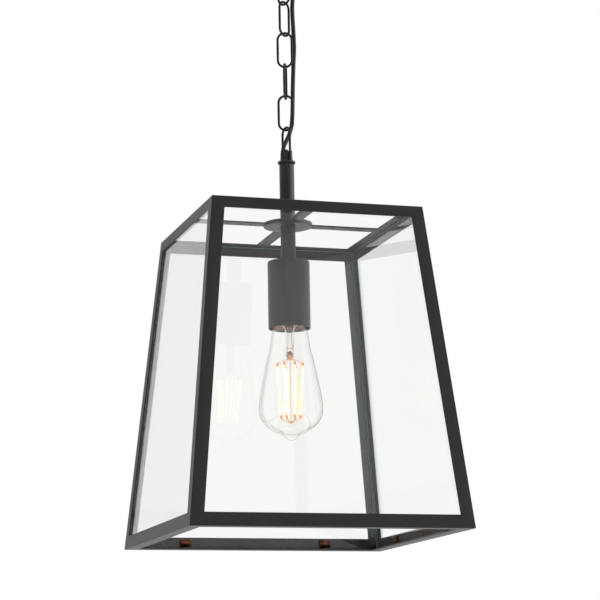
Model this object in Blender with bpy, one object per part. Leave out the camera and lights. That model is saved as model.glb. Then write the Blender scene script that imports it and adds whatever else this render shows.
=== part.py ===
"""A glazed hanging lantern: a tapered steel frame with four glass panes, one filament-style lamp, a stem,
a six-link chain beside its flex, and the ceiling rose with its hook.

Metres, +Z up. The origin is the middle of the rose's face against the ceiling. Inside the lantern, heights
are given above the underside of its base ring, and LANTERN_BASE is where that underside hangs.
"""

import math

import bmesh
import bpy
from mathutils import Matrix, Vector

GAP = 0.0003  # clearance between pieces that touch

# Lantern frame
BASE_WIDTH = 0.276
TOP_WIDTH = 0.2115
FRAME_HEIGHT = 0.3155
SHEET = 0.0016  # wall of the angle section
POST_LEG = 0.0130
BOTTOM_LEG = 0.0130
TOP_LEG = 0.0112
BOTTOM_FLANGE = 0.0130
TOP_FLANGE = 0.0130
GLASS_THICKNESS = 0.0028

# Glass clips on the base flange, two to a side
CLIP_WIDTH = 0.0110
CLIP_HEIGHT = 0.0075
CLIP_FOOT = 0.0040
CLIP_SHEET = 0.0006
CLIP_LIP = 0.0014
CLIP_SPREAD = 0.150  # between the two clips of one side

# Hub, arms, stem
ARM_WIDTH = 0.0130
HUB_RADIUS = 0.02445
HUB_THICKNESS = 0.0040
HUB_UNDER_ARMS = 0.0009  # the hub's underside below the arms' underside
STEM_WALL = 0.0012
STEM_ABOVE_FRAME = 0.0629
STEM_BELOW_HUB = 0.0355
COLLAR_HEIGHT = 0.0029
COLLAR_LIP = 0.00155  # the collar past the stem

# Yoke: a slotted cap on the stem, with a bridge that the last chain link goes round
YOKE_PAST_BORE = 0.00015  # the cap's foot past the stem's bore
YOKE_TAPER = 0.00055
YOKE_HEIGHT = 0.0143
YOKE_SPIGOT = 0.0100
SLOT_CLEARANCE = 0.00075  # across the slot, more than the link's wire
YOKE_YAW = math.radians(-76)  # the way that the slot runs
BRIDGE_RADIUS = 0.0033
BRIDGE_UNDER_TOP = 0.00715

# Lampholder
CUP_RADIUS = 0.0211
CUP_HEIGHT = 0.0680
CUP_WALL = 0.0012
CUP_EDGE = 0.0020
SOCKET_CLEARANCE = 0.0009  # between the socket and the cup's wall
SOCKET_LENGTH = 0.0488
SOCKET_CAVITY_DEPTH = 0.0315
SOCKET_BORE = 0.0036
NIPPLE_RADIUS = 0.0050
NIPPLE_CLEARANCE = 0.0012  # round the flex
NIPPLE_IN_STEM = 0.0130
SHELL_WALL = 0.0006
SHELL_LENGTH = 0.0210
SHELL_RECESS = 0.0020  # the shell's mouth above the socket's mouth

# Lamp with an E27 cap
CAP_RADIUS = 0.0131
CAP_CLEARANCE = 0.0005  # between the cap and the screw shell
CAP_WALL = 0.0005
CAP_THREAD_LENGTH = 0.0195
CAP_SHOULDER = 0.0020
CAP_IN_SOCKET = 0.0010  # the cap's edge above the socket's mouth
INSULATOR_RADIUS = 0.0088
INSULATOR_HEIGHT = 0.0018
PELLET_RADIUS = 0.0045
PELLET_HEIGHT = 0.0010
BULB_RADIUS = 0.0320
BULB_LENGTH = 0.1180  # the glass below the cap's edge
GLASS_WALL = 0.0008
NECK_CLEARANCE = 0.0004  # between the glass neck and the cap
MOUNT_LENGTH = 0.0360  # the glass stem inside the bulb
FILAMENT_TOP = 0.0420  # below the cap's edge
FILAMENT_LENGTH = 0.0530
FILAMENT_WIDTH = 0.0018
CAGE_TOP_RADIUS = 0.0145
CAGE_BOTTOM_RADIUS = 0.0110
FILAMENTS = 8

# Chain
LINKS = 6
LINK_LENGTH = 0.0386
LINK_WIDTH = 0.0168
LINK_WIRE = 0.00245
LINK_YAWS = [math.radians(a) for a in (123, 33, -17, 73, -17, -76)]  # from the top down

# Ceiling rose and hook
ROSE_RADIUS = 0.0500
ROSE_DEPTH = 0.0320
ROSE_WALL = 0.0012
ROSE_EDGE = 0.0070
PLATE_RADIUS = 0.0300
PLATE_THICKNESS = 0.0025
PLATE_SCREW_RADIUS = 0.0022
PLATE_SCREW_SPREAD = 0.0440
HOOK_WIRE = 0.0040
HOOK_BOWL = 0.0080  # radius of the bowl's centre line
HOOK_DROP = 0.06425  # from the ceiling to the middle of the wire under the bowl
HOOK_YAW = math.radians(33)
HOOK_NUT_RADIUS = 0.0055
HOOK_NUT_HEIGHT = 0.0050
RING_NUT_RADIUS = 0.0080
RING_NUT_HEIGHT = 0.0060
TERMINAL_SIZE = (0.0180, 0.0120, 0.0100)

# Flex
FLEX = 0.0044
FLEX_X = 0.0210  # where it leaves the rose
GRIP_TIP_WALL = 0.0011
GRIP_WALL = 0.0018
GRIP_LIP = 0.0025  # the grip's flange past the hole that it sits in
GRIP_TOP = 0.0040  # above the rose's floor
GRIP_LENGTH = 0.0175  # below the rose's floor
FLEX_TO_LINK = 0.000275  # where it passes the last link in the yoke
FLEX_TO_STEM = 0.0004

# Places that follow from the sizes above
FRAME_LEAN = (BASE_WIDTH - TOP_WIDTH) / 2 / FRAME_HEIGHT
LEAN_STRETCH = math.hypot(1, FRAME_LEAN)
SHEET_ACROSS = SHEET * LEAN_STRETCH
GLASS_ACROSS = GLASS_THICKNESS * LEAN_STRETCH
FLEX_OFFSET = LINK_WIRE / 2 + FLEX_TO_LINK + FLEX / 2  # from the stem's axis, in the yoke
STEM_BORE = FLEX_OFFSET + FLEX / 2 + FLEX_TO_STEM
STEM_RADIUS = STEM_BORE + STEM_WALL
STEM_TOP = FRAME_HEIGHT + STEM_ABOVE_FRAME
COLLAR_RADIUS = STEM_RADIUS + COLLAR_LIP
YOKE_RADIUS = STEM_BORE + YOKE_PAST_BORE
YOKE_TOP_RADIUS = YOKE_RADIUS - YOKE_TAPER
YOKE_SLOT = LINK_WIRE + SLOT_CLEARANCE
ARM_BOTTOM = FRAME_HEIGHT - SHEET
HUB_BOTTOM = ARM_BOTTOM - HUB_UNDER_ARMS
COLLAR_BOTTOM = STEM_TOP + GAP
YOKE_BOTTOM = STEM_TOP + GAP
YOKE_TOP = YOKE_BOTTOM + YOKE_HEIGHT
BRIDGE_HEIGHT = YOKE_TOP - BRIDGE_UNDER_TOP
LINK_INSIDE = LINK_LENGTH - 2 * LINK_WIRE
LINK_PITCH = LINK_INSIDE - GAP
FIRST_LINK = -HOOK_DROP + HOOK_WIRE / 2 + GAP - LINK_INSIDE / 2
LINK_HEIGHTS = [FIRST_LINK - k * LINK_PITCH for k in range(LINKS)]
BRIDGE_Z = LINK_HEIGHTS[-1] - LINK_INSIDE / 2 + GAP + BRIDGE_RADIUS
LANTERN_BASE = BRIDGE_Z - BRIDGE_HEIGHT
STEM_BOTTOM = HUB_BOTTOM - STEM_BELOW_HUB
CUP_TOP = STEM_BOTTOM - GAP
CUP_BOTTOM = CUP_TOP - CUP_HEIGHT
SOCKET_TOP = CUP_TOP - CUP_WALL - NIPPLE_IN_STEM - GAP
SOCKET_BOTTOM = SOCKET_TOP - SOCKET_LENGTH
SOCKET_RADIUS = CUP_RADIUS - CUP_WALL - SOCKET_CLEARANCE
NIPPLE_BORE = FLEX / 2 + NIPPLE_CLEARANCE
SHELL_RADIUS = CAP_RADIUS + CAP_CLEARANCE + SHELL_WALL
CAP_BOTTOM = SOCKET_BOTTOM + CAP_IN_SOCKET
CAP_TOP = CAP_BOTTOM + CAP_THREAD_LENGTH + CAP_SHOULDER
PELLET_BOTTOM = CAP_TOP + 2 * GAP + INSULATOR_HEIGHT
PELLET_TOP = PELLET_BOTTOM + PELLET_HEIGHT
NECK_RADIUS = CAP_RADIUS - CAP_WALL - NECK_CLEARANCE
ROSE_FLOOR = -ROSE_DEPTH
GRIP_TIP = FLEX / 2 + GRIP_TIP_WALL
GRIP_RADIUS = FLEX / 2 + GRIP_WALL
GRIP_FLANGE = GRIP_RADIUS + GRIP_LIP
FLEX_EXIT = ROSE_FLOOR - GRIP_LENGTH

FINISHES = {
    "black_satin_paint": ("2D2D2B", 0.3, 0.45, 1.0),
    "black_chain_steel": ("262624", 0.6, 0.4, 1.0),
    "clear_glass": ("EAF2EE", 0.0, 0.03, 0.25),
    "copper_spring": ("B0714C", 1.0, 0.35, 1.0),
    "brass": ("C2A15A", 1.0, 0.3, 1.0),
    "nickel_plate": ("BDB8AE", 1.0, 0.25, 1.0),
    "zinc_steel": ("9A9C9C", 1.0, 0.4, 1.0),
    "porcelain": ("E8E4DA", 0.0, 0.3, 1.0),
    "black_cap_glass": ("14141A", 0.0, 0.15, 1.0),
    "lamp_filament": ("FFD27A", 0.0, 0.5, 1.0),
    "black_flex_pvc": ("1B1B1B", 0.0, 0.5, 1.0),
    "white_polyamide": ("DDDAD2", 0.0, 0.45, 1.0),
}


def clear_scene():
    for obj in list(bpy.data.objects):
        bpy.data.objects.remove(obj)


def linear(hex_value):
    """A linear RGB colour from sRGB hex."""
    levels = [int(hex_value[k : k + 2], 16) / 255 for k in (0, 2, 4)]
    return [v / 12.92 if v <= 0.04045 else ((v + 0.055) / 1.055) ** 2.4 for v in levels]


def finish(name):
    """The named material, made the first time that it is asked for."""
    if name in bpy.data.materials:
        return bpy.data.materials[name]
    hex_value, metallic, roughness, alpha = FINISHES[name]
    material = bpy.data.materials.new(name)
    material.use_nodes = True
    shader = material.node_tree.nodes["Principled BSDF"]
    shader.inputs["Base Color"].default_value = (*linear(hex_value), 1)
    shader.inputs["Metallic"].default_value = metallic
    shader.inputs["Roughness"].default_value = roughness
    shader.inputs["Alpha"].default_value = alpha
    return material


def pivot(name, place, parent=None):
    """An empty on a joint's axis, which carries the pieces that turn about it."""
    empty = bpy.data.objects.new(name, None)
    empty.empty_display_size = 0.01
    bpy.context.scene.collection.objects.link(empty)
    empty.parent = parent
    above = parent["place"] if parent else (0, 0, 0)
    empty["place"] = place
    empty.location = Vector(place) - Vector(above)
    return empty


def add(name, data, finish_name, carrier, origin):
    """Puts a piece into the scene. Its data is drawn about origin, a point in the world."""
    obj = bpy.data.objects.new(name, data)
    data.materials.append(finish(finish_name))
    bpy.context.scene.collection.objects.link(obj)
    obj.parent = carrier
    obj.location = Vector(origin) - Vector(carrier["place"])
    return obj


def solid(name, bm, finish_name, carrier, origin=(0, 0, 0), smooth_to=35):
    """A mesh piece from a bmesh, shaded smooth where its faces turn by less than smooth_to degrees."""
    bmesh.ops.remove_doubles(bm, verts=bm.verts, dist=1e-7)
    bmesh.ops.recalc_face_normals(bm, faces=bm.faces)
    mesh = bpy.data.meshes.new(name)
    bm.to_mesh(mesh)
    bm.free()
    mesh.shade_smooth()
    mesh.set_sharp_from_angle(angle=math.radians(smooth_to))
    return add(name, mesh, finish_name, carrier, origin)


def cutter(obj):
    """Makes a piece a helper that only a Boolean reads."""
    obj.hide_render = True
    obj.display_type = "WIRE"
    return obj


def boolean(obj, other, operation):
    modifier = obj.modifiers.new(other.name, "BOOLEAN")
    modifier.object = cutter(other)
    modifier.operation = operation


def turned_mesh(profile, steps):
    """A closed outline of (radius, height) points spun round Z."""
    bm = bmesh.new()
    verts = [bm.verts.new((radius, 0, height)) for radius, height in profile]
    edges = [bm.edges.new((a, b)) for a, b in zip(verts, verts[1:])]
    if profile[0][0] > 0 or profile[-1][0] > 0:
        edges.append(bm.edges.new((verts[-1], verts[0])))
    bmesh.ops.spin(
        bm, geom=verts + edges, cent=(0, 0, 0), axis=(0, 0, 1), angle=math.tau, steps=steps, use_merge=True
    )
    return bm


def turned(name, profile, finish_name, carrier, origin=(0, 0, 0), steps=32):
    return solid(name, turned_mesh(profile, steps), finish_name, carrier, origin)


def box_mesh(low, high):
    bm = bmesh.new()
    size = Vector(high) - Vector(low)
    middle = (Vector(high) + Vector(low)) / 2
    bmesh.ops.create_cube(bm, size=1, matrix=Matrix.Translation(middle) @ Matrix.Diagonal((*size, 1)))
    return bm


def loft_mesh(loops):
    """A closed skin through loops that have the same number of points, with both ends capped."""
    bm = bmesh.new()
    rings = [[bm.verts.new(point) for point in loop] for loop in loops]
    for ring, following in zip(rings, rings[1:]):
        for k in range(len(ring)):
            after = (k + 1) % len(ring)
            bm.faces.new((ring[k], ring[after], following[after], following[k]))
    bm.faces.new(rings[0])
    bm.faces.new(rings[-1])
    return bm


def wire(name, points, radius, finish_name, carrier, origin=(0, 0, 0), closed=False, resolution=2):
    """A round wire or cord along points, which are given about origin."""
    curve = bpy.data.curves.new(name, "CURVE")
    curve.dimensions = "3D"
    curve.bevel_depth = radius
    curve.bevel_resolution = resolution
    curve.use_fill_caps = not closed
    spline = curve.splines.new("POLY")
    spline.points.add(len(points) - 1)
    for point, place in zip(spline.points, points):
        point.co = (*place, 1)
    spline.use_cyclic_u = closed
    return add(name, curve, finish_name, carrier, origin)


def smooth_line(points, per_span):
    """Points along a smooth curve that passes through the given ones."""
    points = [Vector(p) for p in points]
    ends = [2 * points[0] - points[1], *points, 2 * points[-1] - points[-2]]
    line = []
    for a, b, c, d in zip(ends, ends[1:], ends[2:], ends[3:]):
        for k in range(per_span):
            t = k / per_span
            line.append(
                (2 * b + (c - a) * t + (2 * a - 5 * b + 4 * c - d) * t**2 + (3 * b - a - 3 * c + d) * t**3) / 2
            )
    return [*line, points[-1]]


def heading(yaw):
    """The level direction at that angle from +X."""
    return Vector((math.cos(yaw), math.sin(yaw), 0))


def quarter_turn(k):
    return Matrix.Rotation(k * math.pi / 2, 4, "Z")


def half_width(height):
    """From the lantern's axis to its outer face, at a height above its base."""
    return BASE_WIDTH / 2 - FRAME_LEAN * height


SIDES = ("front", "right", "back", "left")


def rail_outline(leg, flange, flange_at_top):
    """The angle section of a ring's rail: (distance from the axis, height), with its flange pointing inwards."""
    low = FRAME_HEIGHT - leg if flange_at_top else 0
    high = FRAME_HEIGHT if flange_at_top else leg
    flange_edge = half_width(high if flange_at_top else low) - flange
    inner_low = half_width(low) - SHEET_ACROSS
    inner_high = half_width(high) - SHEET_ACROSS
    if flange_at_top:
        under = high - SHEET
        inner_under = half_width(under) - SHEET_ACROSS
        return [
            (half_width(low), low),
            (half_width(high), high),
            (flange_edge, high),
            (flange_edge, under),
            (inner_under, under),
            (inner_low, low),
        ]
    over = low + SHEET
    inner_over = half_width(over) - SHEET_ACROSS
    return [
        (half_width(low), low),
        (half_width(high), high),
        (inner_high, high),
        (inner_over, over),
        (flange_edge, over),
        (flange_edge, low),
    ]


def rail_mesh(outline):
    """A rail along the front, mitred at both ends."""
    mitre_gap = GAP / math.sqrt(2)
    ends = []
    for sign in (-1, 1):
        ends.append([(sign * (across - mitre_gap), -across, height) for across, height in outline])
    return loft_mesh(ends)


def post_mesh():
    """The corner post between the front and left faces, from ring to ring."""
    loops = []
    for height in (BOTTOM_LEG + GAP, FRAME_HEIGHT - TOP_LEG - GAP):
        corner = half_width(height)
        leg = corner - POST_LEG
        inner = corner - SHEET_ACROSS
        plan = [(corner, corner), (leg, corner), (leg, inner), (inner, inner), (inner, leg), (corner, leg)]
        loops.append([(-x, -y, height) for x, y in plan])
    return loft_mesh(loops)


def pane_mesh():
    """The front pane, behind the posts' and rails' legs and between the two flanges."""
    loops = []
    for height in (SHEET + GAP, FRAME_HEIGHT - SHEET - GAP):
        outer = half_width(height) - SHEET_ACROSS - GAP
        inner = outer - GLASS_ACROSS
        side = inner - GAP
        plan = [(-side, outer), (side, outer), (side, inner), (-side, inner)]
        loops.append([(x, -y, height) for x, y in plan])
    return loft_mesh(loops)


def clip_mesh(along):
    """A bent spring clip on the front base flange, centred that far along it."""
    foot = SHEET + GAP
    glass = half_width(foot) - SHEET_ACROSS - 2 * GAP - GLASS_ACROSS
    crest = foot + CLIP_HEIGHT
    back = glass - FRAME_LEAN * CLIP_HEIGHT
    outline = [
        (glass, foot),
        (back, crest),
        (back - CLIP_LIP, crest + CLIP_LIP),
        (back - CLIP_LIP - CLIP_SHEET, crest + CLIP_LIP - CLIP_SHEET),
        (back - CLIP_SHEET, crest - CLIP_SHEET / 2),
        (glass - CLIP_SHEET, foot + CLIP_SHEET),
        (glass - CLIP_FOOT, foot + CLIP_SHEET),
        (glass - CLIP_FOOT, foot),
    ]
    loops = []
    for x in (along - CLIP_WIDTH / 2, along + CLIP_WIDTH / 2):
        loops.append([(x, -across, height) for across, height in outline])
    return loft_mesh(loops)


def build_frame(lantern):
    base = (0, 0, LANTERN_BASE)
    rings = (
        ("bottom_rail", rail_outline(BOTTOM_LEG, BOTTOM_FLANGE, False)),
        ("top_rail", rail_outline(TOP_LEG, TOP_FLANGE, True)),
    )
    for k, side in enumerate(SIDES):
        for name, outline in rings:
            bm = rail_mesh(outline)
            bm.transform(quarter_turn(k))
            solid(f"{name}_{side}", bm, "black_satin_paint", lantern, base)
        bm = post_mesh()
        bm.transform(quarter_turn(k))
        solid(f"corner_post_{SIDES[k - 1]}_{side}", bm, "black_satin_paint", lantern, base)
        bm = pane_mesh()
        bm.transform(quarter_turn(k))
        solid(f"glass_{side}", bm, "clear_glass", lantern, base)
        for number, sign in ((1, -1), (2, 1)):
            bm = clip_mesh(sign * CLIP_SPREAD / 2)
            bm.transform(quarter_turn(k))
            solid(f"glass_clip_{side}_{number}", bm, "copper_spring", lantern, base)


def build_hub(lantern):
    base = (0, 0, LANTERN_BASE)
    bore = STEM_RADIUS + GAP
    ring = [
        (bore, HUB_BOTTOM),
        (HUB_RADIUS, HUB_BOTTOM),
        (HUB_RADIUS, HUB_BOTTOM + HUB_THICKNESS),
        (bore, HUB_BOTTOM + HUB_THICKNESS),
    ]
    turned("hub_plate", ring, "black_satin_paint", lantern, base, steps=40)
    reach = half_width(FRAME_HEIGHT) - TOP_FLANGE - GAP
    for k, side in enumerate(SIDES):
        inner = HUB_RADIUS + GAP
        bm = box_mesh((-ARM_WIDTH / 2, -reach, ARM_BOTTOM), (ARM_WIDTH / 2, -inner, FRAME_HEIGHT))
        bm.transform(quarter_turn(k))
        solid(f"cross_arm_{side}", bm, "black_satin_paint", lantern, base)


def build_stem(lantern):
    base = (0, 0, LANTERN_BASE)
    foot_bore = NIPPLE_RADIUS + GAP
    foot_top = STEM_BOTTOM + NIPPLE_IN_STEM + GAP
    tube = [
        (foot_bore, STEM_BOTTOM),
        (STEM_RADIUS, STEM_BOTTOM),
        (STEM_RADIUS, STEM_TOP),
        (STEM_BORE, STEM_TOP),
        (STEM_BORE, foot_top),
        (foot_bore, foot_top),
    ]
    turned("stem_tube", tube, "black_satin_paint", lantern, base)
    inner = YOKE_RADIUS + GAP
    bead = (COLLAR_RADIUS - inner) / 2
    middle = COLLAR_BOTTOM + COLLAR_HEIGHT / 2
    ring = []
    for k in range(12):
        turn = math.tau * k / 12
        ring.append((inner + bead + bead * math.cos(turn), middle + COLLAR_HEIGHT / 2 * math.sin(turn)))
    turned("stem_collar", ring, "black_satin_paint", lantern, base)


def build_yoke(lantern):
    base = (0, 0, LANTERN_BASE)
    spigot = STEM_BORE - GAP
    cap = [
        (0, YOKE_BOTTOM - YOKE_SPIGOT),
        (spigot, YOKE_BOTTOM - YOKE_SPIGOT),
        (spigot, YOKE_BOTTOM),
        (YOKE_RADIUS, YOKE_BOTTOM),
        (YOKE_TOP_RADIUS, YOKE_TOP),
        (0, YOKE_TOP),
    ]
    yoke = turned("yoke", cap, "black_satin_paint", lantern, base)
    past = 2 * YOKE_RADIUS
    slot_turn = Matrix.Rotation(YOKE_YAW, 4, "Z")
    link_bottom = LINK_WIRE + 2 * GAP + BRIDGE_RADIUS
    slot_floor = BRIDGE_HEIGHT - link_bottom - GAP
    slot = box_mesh((-past, -YOKE_SLOT / 2, slot_floor), (past, YOKE_SLOT / 2, YOKE_TOP + past))
    slot.transform(slot_turn)
    boolean(yoke, solid("yoke_slot", slot, "black_satin_paint", lantern, base), "DIFFERENCE")
    across = slot_turn @ Matrix.Rotation(math.pi / 2, 4, "X")
    rod = bmesh.new()
    bmesh.ops.create_cone(
        rod, cap_ends=True, segments=20, radius1=BRIDGE_RADIUS, radius2=BRIDGE_RADIUS, depth=2 * YOKE_SLOT
    )
    rod.transform(Matrix.Translation((0, 0, BRIDGE_HEIGHT)) @ across)
    boolean(yoke, solid("yoke_bridge", rod, "black_satin_paint", lantern, base), "UNION")
    notch_radius = FLEX / 2 + GAP
    away = heading(YOKE_YAW - math.pi / 2)
    notch = bmesh.new()
    bmesh.ops.create_cone(
        notch, cap_ends=True, segments=24, radius1=notch_radius, radius2=notch_radius, depth=8 * YOKE_RADIUS
    )
    notch.transform(Matrix.Translation(away * FLEX_OFFSET + Vector((0, 0, YOKE_BOTTOM))))
    boolean(yoke, solid("yoke_flex_hole", notch, "black_satin_paint", lantern, base), "DIFFERENCE")
    mouth = box_mesh((-notch_radius, -past, 0), (notch_radius, -FLEX_OFFSET, 1.2 * YOKE_TOP))
    mouth.transform(slot_turn)
    boolean(yoke, solid("yoke_flex_mouth", mouth, "black_satin_paint", lantern, base), "DIFFERENCE")


def build_lampholder(lantern):
    base = (0, 0, LANTERN_BASE)
    hole = NIPPLE_RADIUS + GAP
    cup = [
        (hole, CUP_TOP),
        (hole, CUP_TOP - CUP_WALL),
        (CUP_RADIUS - CUP_WALL, CUP_TOP - CUP_WALL),
        (CUP_RADIUS - CUP_WALL, CUP_BOTTOM),
        (CUP_RADIUS, CUP_BOTTOM),
        (CUP_RADIUS, CUP_TOP - CUP_EDGE),
        (CUP_RADIUS - 0.3 * CUP_EDGE, CUP_TOP - 0.3 * CUP_EDGE),
        (CUP_RADIUS - CUP_EDGE, CUP_TOP),
    ]
    turned("holder_cup", cup, "black_satin_paint", lantern, base, steps=40)
    nipple_low = SOCKET_TOP + GAP
    nipple = [
        (NIPPLE_BORE, nipple_low),
        (NIPPLE_RADIUS, nipple_low),
        (NIPPLE_RADIUS, STEM_BOTTOM + NIPPLE_IN_STEM - GAP),
        (NIPPLE_BORE, STEM_BOTTOM + NIPPLE_IN_STEM - GAP),
    ]
    turned("holder_nipple", nipple, "zinc_steel", lantern, base, steps=20)
    cavity = SHELL_RADIUS + GAP
    cavity_top = SOCKET_BOTTOM + SOCKET_CAVITY_DEPTH
    body = [
        (cavity, SOCKET_BOTTOM),
        (SOCKET_RADIUS, SOCKET_BOTTOM),
        (SOCKET_RADIUS, SOCKET_TOP),
        (SOCKET_BORE, SOCKET_TOP),
        (SOCKET_BORE, cavity_top),
        (cavity, cavity_top),
    ]
    turned("socket_body", body, "porcelain", lantern, base)
    shell_low = SOCKET_BOTTOM + SHELL_RECESS
    shell = [
        (SHELL_RADIUS - SHELL_WALL, shell_low),
        (SHELL_RADIUS, shell_low),
        (SHELL_RADIUS, shell_low + SHELL_LENGTH),
        (SHELL_RADIUS - SHELL_WALL, shell_low + SHELL_LENGTH),
    ]
    turned("screw_shell", shell, "brass", lantern, base)
    contact_low = PELLET_TOP + GAP
    contact = [
        (0, contact_low),
        (PELLET_RADIUS, contact_low),
        (PELLET_RADIUS, contact_low + SHELL_WALL),
        (SOCKET_BORE / 2, contact_low + SHELL_WALL),
        (SOCKET_BORE / 2, cavity_top + 3 * SHELL_WALL),
        (0, cavity_top + 3 * SHELL_WALL),
    ]
    turned("centre_contact", contact, "brass", lantern, base, steps=20)


def bulb_outline():
    """The bulb's outer outline from its neck to its tip: (radius, height above the base ring)."""
    wide = BULB_RADIUS
    drop = BULB_LENGTH
    marks = [
        (NECK_RADIUS, -0.030),
        (NECK_RADIUS, 0.000),
        (0.470 * wide, 0.024),
        (0.555 * wide, 0.066),
        (0.645 * wide, 0.220),
        (0.735 * wide, 0.315),
        (0.860 * wide, 0.478),
        (0.950 * wide, 0.605),
        (wide, 0.722),
        (0.955 * wide, 0.802),
        (0.780 * wide, 0.872),
        (0.560 * wide, 0.920),
        (0.270 * wide, 0.951),
        (0.215 * wide, 0.975),
        (0.110 * wide, 0.993),
        (0, 1.000),
    ]
    return [(radius, CAP_BOTTOM - share * drop) for radius, share in marks]


def inside(outline, wall):
    """The outline moved in by wall, along its own normals."""
    moved = []
    for k, (radius, height) in enumerate(outline):
        before = Vector(outline[max(k - 1, 0)])
        after = Vector(outline[min(k + 1, len(outline) - 1)])
        run = (after - before).normalized()
        if radius == 0:
            moved.append((0, height + wall))
        else:
            moved.append((radius + run.y * wall, height - run.x * wall))
    return moved


def build_bulb(travel, spinning):
    base = (0, 0, LANTERN_BASE)
    pellet = [
        (0, PELLET_BOTTOM),
        (PELLET_RADIUS, PELLET_BOTTOM),
        (0.7 * PELLET_RADIUS, PELLET_TOP),
        (0, PELLET_TOP),
    ]
    turned("bulb_contact", pellet, "nickel_plate", travel, base, steps=20)
    thread_top = CAP_BOTTOM + CAP_THREAD_LENGTH
    cap = [
        (CAP_RADIUS - CAP_WALL, CAP_BOTTOM),
        (CAP_RADIUS, CAP_BOTTOM),
        (CAP_RADIUS, thread_top),
        (INSULATOR_RADIUS, CAP_TOP),
        (INSULATOR_RADIUS - 2 * CAP_WALL, CAP_TOP),
        (CAP_RADIUS - CAP_WALL, thread_top - CAP_WALL),
    ]
    turned("bulb_cap", cap, "nickel_plate", spinning, base)
    insulator = [
        (0, CAP_TOP + GAP),
        (INSULATOR_RADIUS, CAP_TOP + GAP),
        (PELLET_RADIUS, CAP_TOP + GAP + INSULATOR_HEIGHT),
        (0, CAP_TOP + GAP + INSULATOR_HEIGHT),
    ]
    turned("cap_insulator", insulator, "black_cap_glass", spinning, base, steps=24)
    outer = bulb_outline()
    inner = inside(outer, GLASS_WALL)
    turned("bulb_glass", [*reversed(inner), *outer], "clear_glass", spinning, base)
    flare = NECK_RADIUS - GLASS_WALL - GAP
    mount = [
        (0, CAP_BOTTOM - MOUNT_LENGTH),
        (0.25 * flare, CAP_BOTTOM - MOUNT_LENGTH),
        (0.35 * flare, CAP_BOTTOM - 0.8 * MOUNT_LENGTH),
        (0.35 * flare, CAP_BOTTOM - 0.25 * MOUNT_LENGTH),
        (flare, CAP_BOTTOM),
        (0, CAP_BOTTOM),
    ]
    turned("bulb_mount", mount, "clear_glass", spinning, base, steps=20)
    solid("filament_cage", cage_mesh(), "lamp_filament", spinning, base)


def cage_mesh():
    """Two wire rings joined by the filament sticks. A stick joins facing sectors of the rings."""
    sectors = FILAMENTS * 6
    top = CAP_BOTTOM - FILAMENT_TOP
    rings = []
    bm = bmesh.new()
    for radius, low, high in (
        (CAGE_TOP_RADIUS, top, top + FILAMENT_WIDTH / 2),
        (CAGE_BOTTOM_RADIUS, top - FILAMENT_LENGTH - FILAMENT_WIDTH / 2, top - FILAMENT_LENGTH),
    ):
        ring = []
        for k in range(sectors):
            way = heading(math.tau * k / sectors)
            ring.append(
                [
                    bm.verts.new(way * (radius + side * FILAMENT_WIDTH / 2) + Vector((0, 0, height)))
                    for side, height in ((-1, low), (1, low), (1, high), (-1, high))
                ]
            )
        rings.append(ring)
    for which, ring in enumerate(rings):
        joined_face = 0 if which == 0 else 2
        for k in range(sectors):
            here, following = ring[k], ring[(k + 1) % sectors]
            for face in range(4):
                if face == joined_face and k % 6 == 0:
                    continue
                after = (face + 1) % 4
                bm.faces.new((here[face], here[after], following[after], following[face]))
    for k in range(0, sectors, 6):
        upper = [rings[0][k][0], rings[0][k][1], rings[0][k + 1][1], rings[0][k + 1][0]]
        lower = [rings[1][k][3], rings[1][k][2], rings[1][k + 1][2], rings[1][k + 1][3]]
        for face in range(4):
            after = (face + 1) % 4
            bm.faces.new((upper[face], upper[after], lower[after], lower[face]))
    return bm


def link_points(yaw):
    """The centre line of an upright chain link, about its middle: two straight sides and two half turns."""
    bend = (LINK_WIDTH - LINK_WIRE) / 2
    straight = (LINK_LENGTH - LINK_WIDTH) / 2
    way = heading(yaw)
    points = []
    for sign in (1, -1):
        for k in range(13):
            turn = math.pi * k / 12
            side = sign * bend * math.cos(turn)
            rise = sign * (straight + bend * math.sin(turn))
            points.append(way * side + Vector((0, 0, rise)))
    return points


def build_chain(rose):
    """Each link hangs in the one above it and turns about that one's lower wire. Returns the last pivot."""
    carrier = rose
    joint_z = -HOOK_DROP
    for k, (yaw, height) in enumerate(zip(LINK_YAWS, LINK_HEIGHTS)):
        carrier = pivot(f"link_{k + 1}_pivot", (0, 0, joint_z), carrier)
        wire(
            f"chain_link_{k + 1}",
            link_points(yaw),
            LINK_WIRE / 2,
            "black_chain_steel",
            carrier,
            (0, 0, height),
            closed=True,
        )
        joint_z = height - LINK_LENGTH / 2 + LINK_WIRE / 2
    return carrier


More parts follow.
